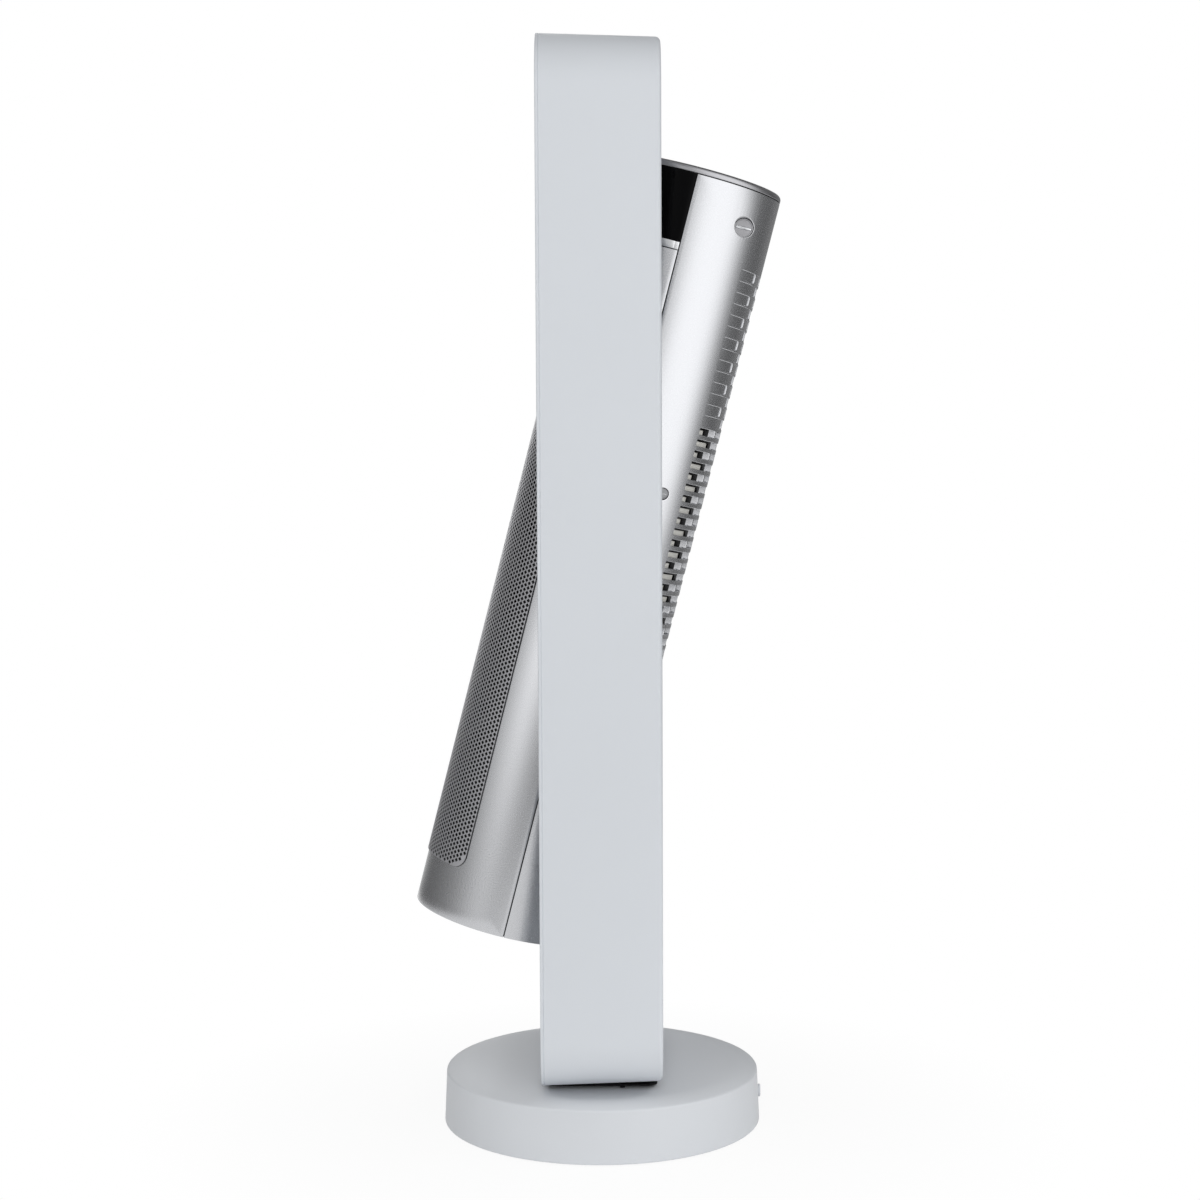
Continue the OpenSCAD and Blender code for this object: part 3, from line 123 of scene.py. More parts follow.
@dataclass(frozen=True)
class TubeFrame:
    """Where the tube's own coordinates lie in the object's."""

    pivot_z: float = 390.5
    pivot_s: float = 261.5
    tilt: float = 14.5

    def place(self, point: Vector) -> Vector:
        """Turns a point of the tube's coordinates into the object's.

        Args:
            point: x, y and s in millimetres.

        Returns:
            The same point in the object's coordinates, in millimetres.
        """
        turn = math.radians(self.tilt)
        along = point.z - self.pivot_s
        y = point.y * math.cos(turn) + along * math.sin(turn)
        z = self.pivot_z - point.y * math.sin(turn) + along * math.cos(turn)
        return Vector((point.x, y, z))


TUBE = TubeFrame()


def per_metre(size_mm: float) -> float:
    """Scale at which a texture's unit is size_mm wide."""
    return 1.0 / (size_mm * MM)


class ShaderSheet:
    """The node tree of a material or a world while it is being built."""

    def __init__(self, owner: Any, output: str = "OutputMaterial") -> None:
        """Empties the owner's tree and gives it an output node.

        Args:
            owner: the material or world.
            output: the output node's type.
        """
        owner.use_nodes = True
        self.owner = owner
        self.tree = owner.node_tree
        self.tree.nodes.clear()
        self.output = self.add(output)

    def add(
        self,
        kind: str,
        settings: Optional[dict[Any, Any]] = None,
        links: Optional[dict[Any, Any]] = None,
    ) -> Any:
        """Adds one node with its settings and incoming links.

        Args:
            kind: the node's type without the ShaderNode prefix.
            settings: properties by name, or input values by name or number.
            links: output sockets by the name or number of the input that they feed.

        Returns:
            The new node.
        """
        node = self.tree.nodes.new("ShaderNode" + kind)
        for key, value in (settings or {}).items():
            if isinstance(key, str) and hasattr(node, key):
                setattr(node, key, value)
            else:
                node.inputs[key].default_value = value
        for key, socket in (links or {}).items():
            self.tree.links.new(socket, node.inputs[key])
        return node

    def finish(self, socket: Any) -> Any:
        """Joins the last socket to the output and returns the tree's owner."""
        self.tree.links.new(socket, self.output.inputs["Surface"])
        return self.owner


@dataclass(frozen=True)
class Finish:
    """A surface finish: patches of tone, a grain and the shader's own settings.

    Attributes:
        name: the material's name, after what the real surface is and how it was made.
        colour: its colour as an sRGB hex code.
        roughness: its mean roughness.
        tone: share of the colour that the darkest patches keep.
        tone_mm: width of the patches.
        grain_mm: width of one grain.
        grain_height_mm: how deep the grain goes.
        uneven: how far the roughness strays from its mean.
    """

    name: str
    colour: str
    roughness: float = 0.45
    tone: float = 0.92
    tone_mm: float = 18.0
    grain_mm: float = 0.6
    grain_height_mm: float = 0.01
    uneven: float = 0.05

    def build(self) -> bpy.types.Material:
        """Returns the finish's material, built at its first use."""
        known = bpy.data.materials.get(self.name)
        return known if known else self.make(ShaderSheet(bpy.data.materials.new(self.name)))

    def settings(self) -> dict[str, Any]:
        """The shader's settings that are the same all over the surface."""
        return {}

    def make(self, sheet: ShaderSheet) -> bpy.types.Material:
        """Builds the patches, the grain and the shader.

        Args:
            sheet: the material's empty tree.

        Returns:
            The finished material.
        """
        full = linear(self.colour)
        dark = tuple(part * self.tone for part in full[:3]) + (1.0,)
        place = sheet.add("TexCoord").outputs["Object"]
        patches = sheet.add("TexNoise", {"Scale": per_metre(self.tone_mm)}, {"Vector": place})
        grain = sheet.add("TexNoise", {"Scale": per_metre(self.grain_mm)}, {"Vector": place})
        colour = sheet.add("MixRGB", {"Color1": dark, "Color2": full}, {"Fac": patches.outputs["Fac"]})
        limits = {"To Min": self.roughness - self.uneven, "To Max": self.roughness + self.uneven}
        rough = sheet.add("MapRange", limits, {"Value": grain.outputs["Fac"]})
        depth = {"Distance": self.grain_height_mm * MM}
        relief = sheet.add("Bump", depth, {"Height": grain.outputs["Fac"]})
        links = {
            "Base Color": colour.outputs["Color"],
            "Roughness": rough.outputs["Result"],
            "Normal": relief.outputs["Normal"],
        }
        return sheet.finish(sheet.add("BsdfPrincipled", self.settings(), links).outputs["BSDF"])


@dataclass(frozen=True)
class MattePaint(Finish):
    """Sprayed matt paint on moulded plastic."""

    def settings(self) -> dict[str, Any]:
        """A lacquer's usual index of refraction."""
        return {"IOR": 1.48}


@dataclass(frozen=True)
class FlakePaint(Finish):
    """Silver paint with metal flakes under a clear lacquer.

    Attributes:
        metallic: how much of it is metal.
        coat: strength of the lacquer's own gloss.
    """

    metallic: float = 0.9
    coat: float = 0.25

    def settings(self) -> dict[str, Any]:
        """Mostly metal flakes, with a thin satin coat over them."""
        return {"Metallic": self.metallic, "Coat Weight": self.coat, "Coat Roughness": 0.2}


@dataclass(frozen=True)
class Moulded(Finish):
    """Moulded plastic, rubber or fired clay.

    Attributes:
        gloss: how strongly the surface mirrors.
    """

    gloss: float = 0.5

    def settings(self) -> dict[str, Any]:
        """A plastic's usual index of refraction, and how strongly the surface mirrors."""
        return {"IOR": 1.49, "Specular IOR Level": self.gloss}


@dataclass(frozen=True)
class Metal(Finish):
    """Bare metal, which keeps the shader's own index of refraction."""

    def settings(self) -> dict[str, Any]:
        """Metal all through."""
        return {"Metallic": 1.0}


@dataclass(frozen=True)
class WovenNet(Finish):
    """A net of round nylon threads that cross at right angles.

    Attributes:
        thread_mm: distance from thread to thread.
        gap_shade_colour: the darker tone between the threads, painted shade where the net's gaps show the
            dark inside.
    """

    thread_mm: float = 1.0
    gap_shade_colour: str = "cfcdc5"

    def make(self, sheet: ShaderSheet) -> bpy.types.Material:
        """Builds the threads along and across the tube.

        Args:
            sheet: the material's empty tree.

        Returns:
            The finished material.
        """
        place = sheet.add("TexCoord").outputs["Object"]
        turn = {"vector_type": "POINT", "Rotation": (math.radians(TUBE.tilt), 0.0, 0.0)}
        along = sheet.add("Mapping", turn, {"Vector": place}).outputs["Vector"]
        # The wave texture's bands repeat every pi / 10 of its own units
        scale = math.pi / 10 * per_metre(self.thread_mm)
        warp = sheet.add("TexWave", {"bands_direction": "X", "Scale": scale}, {"Vector": along})
        weft = sheet.add("TexWave", {"bands_direction": "Z", "Scale": scale}, {"Vector": along})
        links = {0: warp.outputs["Fac"], 1: weft.outputs["Fac"]}
        cloth = sheet.add("Math", {"operation": "MAXIMUM"}, links).outputs["Value"]
        # The gaps between the threads take the darker tone: painted shade
        tones = {"Color1": linear(self.gap_shade_colour), "Color2": linear(self.colour)}
        colour = sheet.add("MixRGB", tones, {"Fac": cloth})
        relief = sheet.add("Bump", {"Distance": self.grain_height_mm * MM}, {"Height": cloth})
        links = {"Base Color": colour.outputs["Color"], "Normal": relief.outputs["Normal"]}
        shader = sheet.add("BsdfPrincipled", {"Roughness": self.roughness, "IOR": 1.53}, links)
        return sheet.finish(shader.outputs["BSDF"])


# Matt paint sprayed on moulded ABS: an even pale grey, with an orange peel too fine to see as lumps
HOOP_PAINT = MattePaint(
    "Matt_sprayed_grey_paint", "d3d7dc", 0.5,
    tone=0.985, tone_mm=55.0, grain_mm=0.9, grain_height_mm=0.004, uneven=0.03,
)
# The same paint on the base, a touch darker: the darkening is painted shade
BASE_PAINT = replace(HOOP_PAINT, name="Matt_sprayed_grey_paint_base", colour="d2d5d9")
# Silver flake paint under satin lacquer: broad soft reflections. Flakes are drawn ten times coarser to show
TUBE_PAINT = FlakePaint(
    "Silver_flake_lacquer", "c6c7ca", 0.27,
    tone=0.98, tone_mm=0.5, grain_mm=0.5, grain_height_mm=0.0004, uneven=0.02,
)
# The same paint, darker, on the cap, the plugs and the collars. On the plugs the darkening is painted shade
# of their recesses
CAP_PAINT = replace(TUBE_PAINT, name="Silver_flake_lacquer_dark", colour="a9a9ac", roughness=0.3, tone=0.97)
# Bright silver lacquer on thin trim: the sharpest reflections. The recess walls and the plugs' grip bars
# take it as a painted highlight
TRIM_AND_HIGHLIGHT_PAINT = replace(TUBE_PAINT, name="Bright_silver_lacquer", colour="dadbdd", roughness=0.24)
# Punched steel sheet, powder coated in grey: softer reflections and a faint grit
MESH_PAINT = FlakePaint(
    "Powder_coated_punched_steel", "b9b9bd", 0.36,
    tone=0.95, tone_mm=0.8, grain_mm=0.8, grain_height_mm=0.002, uneven=0.04, metallic=0.6,
)
# Injection-moulded acrylic: deep black, mirror smooth, and hardly any glare
WINDOW_GLOSS = Moulded(
    "Moulded_black_acrylic", "040405", 0.1, grain_height_mm=0.0005, uneven=0.02, gloss=0.06
)
# Moulded ABS with an eroded grain: a dull black
BLACK_PLASTIC = Moulded("Grained_black_ABS", "060607", 0.55, gloss=0.15)
# Glass-filled nylon near the heat: a dark grey with a dry look
DARK_PLASTIC = Moulded("Glass_filled_nylon", "2c2d2f", 0.55)
# Moulded acetal washers: a waxy mid grey
GREY_PLASTIC = Moulded("Moulded_grey_acetal", "8a8c8f", 0.4)
# Natural nylon gears and rings: cream and waxy
WHITE_NYLON = Moulded("Moulded_natural_nylon", "e6e3da", 0.42)
# Moulded red plunger of the tip-over switch: a plain satin red that marks the moving part
RED_PLASTIC = Moulded("Moulded_red_PBT", "b3372b", 0.42)
# Aluminium fins dulled and browned by the heat: soft dark reflections
FIN_METAL = Metal("Heat_browned_aluminium", "2b2927", 0.6)
# Fired ceramic of the heating stones: chalky and rough
CERAMIC = Moulded("Fired_heater_ceramic", "262423", 0.75, grain_height_mm=0.03)
# Moulded rubber feet: black without a highlight
RUBBER = Moulded("Moulded_black_rubber", "202021", 0.8, grain_height_mm=0.02)
# Solder mask over copper: green with darker tracks about a millimetre wide
BOARD = Moulded(
    "Masked_circuit_board", "2b6a3b", 0.35, tone=0.8, tone_mm=1.2, grain_mm=1.2, grain_height_mm=0.02
)
# Woven nylon dust net: cream threads, with painted shade in the gaps between them. The real mesh is finer,
# and is drawn at a millimetre so that it shows
FILTER_NET = WovenNet("Woven_nylon_net", "faf9f4", 0.7, grain_height_mm=0.08)
# Zinc-plated steel screws and clips: bright, with a slightly cloudy plating
ZINC = Metal(
    "Zinc_plated_steel", "b4b6b8", 0.32, tone=0.88, tone_mm=9.0, grain_mm=0.5, grain_height_mm=0.004
)
# Rolled aluminium of the wheel: pale, with a rolling haze
ALUMINIUM = replace(ZINC, name="Rolled_aluminium", colour="c6c8ca", roughness=0.3)
# Cast iron ballast with its sand-cast skin: dark and rough
IRON = Metal(
    "Sand_cast_iron", "4a4a4c", 0.7, tone=0.85, tone_mm=9.0, grain_mm=1.5, grain_height_mm=0.05
)
# Sintered bronze bearing: brown gold, with fine pores
BRONZE = replace(
    ZINC, name="Sintered_bronze", colour="a37b45", roughness=0.45, grain_height_mm=0.01
)
# Laminated steel of the motors: grey, with a dull stacked look
MOTOR_STEEL = Metal(
    "Stacked_motor_steel", "8d9094", 0.38, tone=0.85, tone_mm=4.0, grain_mm=0.5, grain_height_mm=0.006
)


def arc(centre: Sequence[float], radius: float, start: float, end: float, steps: int) -> Profile:
    """Points along a circular arc in a plane.

    Args:
        centre: the arc's centre.
        radius: its radius.
        start: first angle in degrees.
        end: last angle in degrees.
        steps: number of chords.

    Returns:
        steps + 1 points.
    """
    angles = [math.radians(start + (end - start) * i / steps) for i in range(steps + 1)]
    return [(centre[0] + radius * math.cos(a), centre[1] + radius * math.sin(a)) for a in angles]


def vertices_of(geom: Iterable[Any]) -> list[bmesh.types.BMVert]:
    """Picks the vertices out of an operator's result."""
    return [g for g in geom if isinstance(g, bmesh.types.BMVert)]


def edges_of(geom: Iterable[Any]) -> list[bmesh.types.BMEdge]:
    """Picks the edges out of an operator's result."""
    return [g for g in geom if isinstance(g, bmesh.types.BMEdge)]


def bevel(
    mesh: Mesh,
    geom: Geometry,
    offset: float,
    segments: int = 2,
    affect: Bevelled = Bevelled.EDGES,
    clamp: bool = True,
) -> None:
    """Bevels edges or corners with the settings that every piece shares.

    Args:
        mesh: the mesh to change.
        geom: its edges or vertices to bevel.
        offset: how far the bevel reaches.
        segments: the number of steps across it.
        affect: edges or corners.
        clamp: whether the reach stops before the next bevel.
    """
    bmesh.ops.bevel(
        mesh,
        geom=geom,
        offset=offset,
        offset_type="OFFSET",
        segments=segments,
        profile=0.5,
        affect=affect.value,
        clamp_overlap=clamp,
        material=-1,
    )


def settle(mesh: Mesh, distance: float = 0.001) -> None:
    """Merges doubles and turns the faces of a closed mesh outwards.

    Args:
        mesh: the mesh to settle.
        distance: how near two points merge.
    """
    bmesh.ops.remove_doubles(mesh, verts=mesh.verts[:], dist=distance)
    bmesh.ops.recalc_face_normals(mesh, faces=mesh.faces[:])
    if mesh.calc_volume(signed=True) < 0:
        bmesh.ops.reverse_faces(mesh, faces=mesh.faces[:])


def box(middle: Sequence[float], size: Sequence[float]) -> Mesh:
    """A box whose sides lie along the axes.

    Args:
        middle: its centre.
        size: its three sides.

    Returns:
        The closed box.
    """
    mesh = bmesh.new()
    place = Matrix.Translation(middle) @ Matrix.Diagonal((*size, 1))
    bmesh.ops.create_cube(mesh, size=1.0, matrix=place)
    return mesh


def lathe(profile: Sequence[Span], steps: int, closed: bool = True) -> Mesh:
    """Spins a profile of radius and height about the z axis.

    Args:
        profile: points of radius and height.
        steps: steps round the axis.
        closed: whether the last point joins the first.

    Returns:
        The closed solid.
    """
    mesh = bmesh.new()
    points = [mesh.verts.new((r, 0.0, z)) for r, z in profile]
    lines = [mesh.edges.new(pair) for pair in zip(points, points[1:])]
    if closed:
        lines.append(mesh.edges.new((points[-1], points[0])))
    bmesh.ops.spin(
        mesh,
        geom=points + lines,
        cent=(0, 0, 0),
        axis=(0, 0, 1),
        angle=2 * math.pi,
        steps=steps,
        use_merge=True,
    )
    settle(mesh)
    return mesh


def solid_disc(profile: Sequence[Span], steps: int) -> Mesh:
    """Spins a profile whose ends lie on the axis, and closes its poles."""
    return lathe(profile, steps, closed=False)


def round_bar(radius: float, low: float, high: float, steps: int) -> Mesh:
    """A plain round bar on the z axis, from the height low to the height high."""
    return solid_disc([(0, low), (radius, low), (radius, high), (0, high)], steps)


def move(mesh: Mesh, matrix: Matrix) -> Mesh:
    """Transforms the whole mesh and returns it."""
    bmesh.ops.transform(mesh, matrix=matrix, verts=mesh.verts[:])
    return mesh


def along_x(mesh: Mesh, y: float = 0.0, z: float = 0.0) -> Mesh:
    """Turns a lathed mesh from the z axis onto the x axis and places it."""
    return move(mesh, Matrix.Translation((0, y, z)) @ Matrix.Rotation(math.pi / 2, 4, "Y"))


def along_y(mesh: Mesh, x: float = 0.0, z: float = 0.0) -> Mesh:
    """Turns a lathed mesh from the z axis onto the y axis and places it."""
    return move(mesh, Matrix.Translation((x, 0, z)) @ Matrix.Rotation(-math.pi / 2, 4, "X"))


def joined(parts: Sequence[Mesh]) -> Mesh:
    """Puts several meshes into one.

    Args:
        parts: the meshes, freed here.

    Returns:
        One mesh with all their faces.
    """
    whole = bmesh.new()
    for part in parts:
        data = bpy.data.meshes.new("part")
        part.to_mesh(data)
        part.free()
        whole.from_mesh(data)
        bpy.data.meshes.remove(data)
    return whole


def mirrored(mesh: Mesh) -> Mesh:
    """Adds the mesh's mirror image across x = 0.

    Args:
        mesh: the mesh on one side, freed here.

    Returns:
        One mesh with both sides.
    """
    copy = mesh.copy()
    bmesh.ops.scale(copy, vec=(-1, 1, 1), verts=copy.verts[:])
    bmesh.ops.reverse_faces(copy, faces=copy.faces[:])
    return joined([mesh, copy])


@dataclass
class Piece:
    """A modelled piece: its name, what carries it and what it stands for.

    Attributes:
        name: its name.
        body: what it rides on.
        finish: its finish.
        slot: its material slot; not used.
        replaces: the nodes in whose place it stands.
        place: turns its own coordinates into the object's, where they differ.
        smooth: edges below this angle are shaded smooth.
    """

    name: str
    body: Body
    finish: Finish
    slot: Slot
    replaces: tuple[str, ...]
    place: Optional[Place] = None
    smooth: float = 32.0

    def install(self, mesh: Mesh) -> None:
        """Turns the mesh into an object that rides on its body.

        Args:
            mesh: the finished mesh in millimetres, freed here.
        """
        for vertex in mesh.verts:
            point = self.place(vertex.co) if self.place else vertex.co
            vertex.co = point * MM
        data = bpy.data.meshes.new(self.name)
        mesh.to_mesh(data)
        mesh.free()
        data.shade_smooth()
        data.set_sharp_from_angle(angle=math.radians(self.smooth))
        data.materials.append(self.finish.build())
        item = bpy.data.objects.new(self.name, data)
        bpy.context.scene.collection.objects.link(item)
        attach(item, self.body.value)
        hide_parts(*self.replaces)
        LOG.info("%s: %d faces on %s", self.name, len(data.polygons), self.body.value)


def carved(mesh: Mesh, cutters: Sequence[Mesh], carving: Carving = Carving.CUT) -> Mesh:
    """Cuts closed meshes out of a closed mesh, or adds them to it.

    Args:
        mesh: the mesh to work on, freed here.
        cutters: closed meshes that don't cross each other, freed here.
        carving: whether they are cut out or added.

    Returns:
        The result.
    """
    pair = []
    for part in (mesh, joined(cutters)):
        data = bpy.data.meshes.new("carving")
        part.to_mesh(data)
        part.free()
        item = bpy.data.objects.new("carving", data)
        bpy.context.scene.collection.objects.link(item)
        pair.append(item)
    modifier = pair[0].modifiers.new("carving", "BOOLEAN")
    modifier.operation = carving.value
    modifier.solver = "EXACT"
    modifier.object = pair[1]
    result = bmesh.new()
    result.from_object(pair[0], bpy.context.evaluated_depsgraph_get())
    for item in pair:
        data = item.data
        bpy.data.objects.remove(item)
        bpy.data.meshes.remove(data)
    return result


@dataclass
class BentSheet:
    """A flat sheet that is cut in the flat and then bent round the tube.

    Attributes:
        facing: which half of the tube it covers.
        s0: its lower end.
        s1: its upper end.
        half_angle: angle from its middle to either side.
        outer_r: radius of its outer face.
        wall: its thickness.
        edge: rounding of its outer edges.
        pull_angle: up to this angle, walls cut in the flat come out parallel to the y axis.
        fade: angle over which they turn square to the surface again.
        small_corner: corners below this radius are drawn with few steps.
    """

    facing: Facing
    s0: float
    s1: float
    half_angle: float
    outer_r: float = 60.0
    wall: float = 2.6
    edge: float = 0.3
    pull_angle: float = 0.0
    fade: float = 6.0
    small_corner: float = 4.0

    def flat(self, angle: float) -> float:
        """Distance along the flat sheet for an angle in degrees."""
        return math.radians(angle) * self.outer_r

    def flat_x(self, x: float) -> float:
        """Distance along the flat sheet for a distance x across the tube."""
        return math.asin(max(-1.0, min(1.0, x / self.outer_r))) * self.outer_r

    def across(self, angle: float) -> float:
        """Distance x across the tube for an angle in degrees."""
        return self.outer_r * math.sin(math.radians(angle))

    def block(self, low: Sequence[float], high: Sequence[float]) -> Mesh:
        """A box in the flat between two corners of flat x, s and depth."""
        return box((Vector(low) + Vector(high)) / 2, Vector(high) - Vector(low))

    def slab(self) -> Mesh:
        """The whole sheet in the flat, with its outer edges rounded.

        Returns:
            The closed sheet.
        """
        wide = self.flat(self.half_angle)
        mesh = self.block((-wide, self.s0, -self.wall), (wide, self.s1, 0.0))
        rim = [e for e in mesh.edges if all(v.co.z > -self.wall / 2 for v in e.verts)]
        bevel(mesh, rim, self.edge)
        return mesh

    def tile(self, across: Span, along: Span, low: float, high: float, corner: float) -> Mesh:
        """A flat block with rounded corners.

        Args:
            across: its sides as distances x across the tube.
            along: its lower and upper end.
            low: depth of its bottom.
            high: depth of its top.
            corner: radius of its corners.

        Returns:
            The closed block in the flat.
        """
        mesh = bmesh.new()
        sides = [self.flat_x(x) for x in across]
        place = Matrix.Translation(((sides[0] + sides[1]) / 2, (along[0] + along[1]) / 2, low))
        half = Matrix.Diagonal(((sides[1] - sides[0]) / 2, (along[1] - along[0]) / 2, 1, 1))
        bmesh.ops.create_grid(mesh, x_segments=1, y_segments=1, size=1.0, matrix=place @ half)
        steps = 3 if corner < self.small_corner else 8
        bevel(mesh, mesh.verts[:], corner, steps, Bevelled.CORNERS)
        drawn = bmesh.ops.extrude_face_region(mesh, geom=mesh.faces[:])["geom"]
        bmesh.ops.translate(mesh, verts=vertices_of(drawn), vec=(0, 0, high - low))
        bmesh.ops.recalc_face_normals(mesh, faces=mesh.faces[:])
        return mesh

    def pocket(self, across: Span, along: Span, floor: float, corner: float, flare: float) -> Mesh:
        """A cutter for one opening, with rounded corners and a flared mouth.

        Args:
            across: its sides as distances x across the tube.
            along: its lower and upper end.
            floor: depth of its bottom, below zero.
            corner: radius of its corners.
            flare: width and depth of the flare.

        Returns:
            The closed cutter in the flat.
        """
        mesh = self.tile(across, along, floor, -flare, corner)
        top = [f for f in mesh.faces if all(v.co.z > (floor - flare) / 2 for v in f.verts)]
        drawn = bmesh.ops.extrude_face_region(mesh, geom=top)["geom"]
        bmesh.ops.delete(mesh, geom=top, context="FACES_ONLY")
        # The flare runs as far above the surface as below it, so that it cuts clean through
        rise = 2 * flare
        bmesh.ops.translate(mesh, verts=vertices_of(drawn), vec=(0, 0, rise))
        sides = [self.flat_x(x) for x in across]
        wider = (1 + 2 * rise / (sides[1] - sides[0]), 1 + 2 * rise / (along[1] - along[0]), 1.0)
        middle = Matrix.Translation((-(sides[0] + sides[1]) / 2, -(along[0] + along[1]) / 2, 0))
        bmesh.ops.scale(mesh, vec=wider, space=middle, verts=vertices_of(drawn))
        bmesh.ops.recalc_face_normals(mesh, faces=mesh.faces[:])
        return mesh

    def bent(self, mesh: Mesh, step: float = 2.5, heights: Iterable[float] = ()) -> Mesh:
        """Splits a flat mesh into columns and bends it round the tube's axis.

        Args:
            mesh: the closed mesh in the flat.
            step: angle of one column.
            heights: where it is also split across, so that no face gets long.

        Returns:
            The same mesh, in the tube's coordinates.
        """
        count = max(1, round(2 * self.half_angle / step))
        places = [self.flat(self.half_angle * (2 * i / count - 1)) for i in range(1, count)]
        cuts = [((x, 0, 0), (1, 0, 0)) for x in places] + [((0, s, 0), (0, 1, 0)) for s in heights]
        for spot, way in cuts:
            geom = mesh.verts[:] + mesh.edges[:] + mesh.faces[:]
            bmesh.ops.bisect_plane(mesh, geom=geom, dist=0.01, plane_co=spot, plane_no=way)
        bmesh.ops.triangulate(mesh, faces=[f for f in mesh.faces if len(f.verts) > 4])
        for vertex in mesh.verts:
            angle = vertex.co.x / self.outer_r
            radius = self.outer_r + vertex.co.z
            x = radius * math.sin(angle)
            y = radius * math.cos(angle)
            pulled = self.outer_r * math.sin(angle)
            if self.pull_angle and abs(pulled) < radius:
                share = (self.pull_angle + self.fade - abs(math.degrees(angle))) / self.fade
                share = max(0.0, min(1.0, share))
                x += (pulled - x) * share
                y += (math.sqrt(radius**2 - pulled**2) - y) * share
            vertex.co = Vector((x, self.facing.value * y, vertex.co.y))
        bmesh.ops.recalc_face_normals(mesh, faces=mesh.faces[:])
        return mesh


@dataclass
class Gland:
    """The cable gland in the base's rear wall. Its ins, outs and ends are measured from the disc's rim."""

    z: float = 17.7
    cord_r: float = 3.3
    flange_r: float = 5.2
    flange_in: float = 10.0
    flange_out: float = 3.1
    sleeve_r: float = 4.0
    sleeve_out: float = 0.1
    lip_r: float = 4.3
    lip_end: float = 0.9
    lip_edge: float = 0.6
    mouth_edge: float = 0.5

    def build(self, rim: float) -> None:
        """Lathes the gland, from its flange inside the wall to the rounded lip outside.

        Args:
            rim: the disc's radius.
        """
        inner, outer, face = rim - self.flange_in, rim - self.flange_out, rim - self.sleeve_out
        end = rim + self.lip_end
        profile = [(self.cord_r, inner), (self.flange_r, inner), (self.flange_r, outer)]
        profile += [(self.sleeve_r, outer), (self.sleeve_r, face), (self.lip_r, face)]
        profile += arc((self.lip_r - self.lip_edge, end - self.lip_edge), self.lip_edge, 0, 90, 4)
        mouth = (self.cord_r + self.mouth_edge, end - self.mouth_edge)
        profile += arc(mouth, self.mouth_edge, 90, 180, 4)
        gland = along_y(lathe(profile, 48), 0, self.z)
        Piece("cable_gland_lip", Body.BASE, BASE_PAINT, Slot.BODY, ("cable_gland",)).install(gland)


@dataclass
class Base:
    """The disc base's shell and its cable gland.

    Attributes:
        crown_r: radius of the flat top.
        crown_bend: radius of the shoulder's curve.
        crown_turn: angle through which the shoulder falls.
        edge_turn: angles at which the fine edge begins and ends.
        draft: inset of the wall's inner face for the draft.
        inner_cut: width and depth of the chamfer inside.
        inner_drop: how far the chamfer lies below the roof.
        bore_depth: how far the bore's bar starts inside the rim.
        bore_out: how far it goes beyond the rim.
    """

    radius: float = 106.0
    height: float = 38.5
    crown_r: float = 88.0
    crown_bend: float = 43.0
    crown_turn: float = 21.0
    edge: float = 1.8
    edge_turn: Span = (57.0, 3.0)
    draft: float = 1.5
    wall: float = 3.0
    rim_z: float = 0.8
    rim_edge: float = 0.8
    inner_cut: float = 4.0
    inner_drop: float = 1.0
    hole_r: float = 24.08
    bore_r: float = 4.05
    bore_depth: float = 8.0
    bore_out: float = 4.0
    gland: Gland = field(default_factory=Gland)

    def shell_profile(self) -> Profile:
        """Section of the shell: flat top, falling shoulder, fine edge, drafted wall and lower edge.

        Returns:
            Points of radius and height, all round the section.
        """
        slope = 90 - self.crown_turn
        shoulder = arc((self.crown_r, self.height - self.crown_bend), self.crown_bend, 90, slope, 12)
        turn = math.radians(slope)
        last = shoulder[-1]
        centre = (last[0] - self.edge * math.cos(turn), last[1] - self.edge * math.sin(turn))
        top = [(self.hole_r, self.height)] + shoulder + arc(centre, self.edge, *self.edge_turn, 6)
        foot = arc((self.radius - self.rim_edge, self.rim_z + self.rim_edge), self.rim_edge, 0, -90, 4)
        inner = self.radius - self.draft - self.wall
        roof = self.height - self.wall
        cut = self.inner_cut
        inside = [(inner, self.rim_z), (inner, roof - cut), (inner - cut, roof - self.inner_drop)]
        return top + foot + inside + [(self.crown_r - cut, roof), (self.hole_r, roof)]

    def build(self) -> None:
        """Lathes the shell, bores its rear wall and sets the gland in it."""
        bore = round_bar(self.bore_r, self.radius - self.bore_depth, self.radius + self.bore_out, 32)
        shell = carved(lathe(self.shell_profile(), 192), [along_y(bore, 0, self.gland.z)])
        Piece("base_cover", Body.BASE, BASE_PAINT, Slot.BODY, ("base_shell",), smooth=40).install(shell)
        self.gland.build(self.radius)


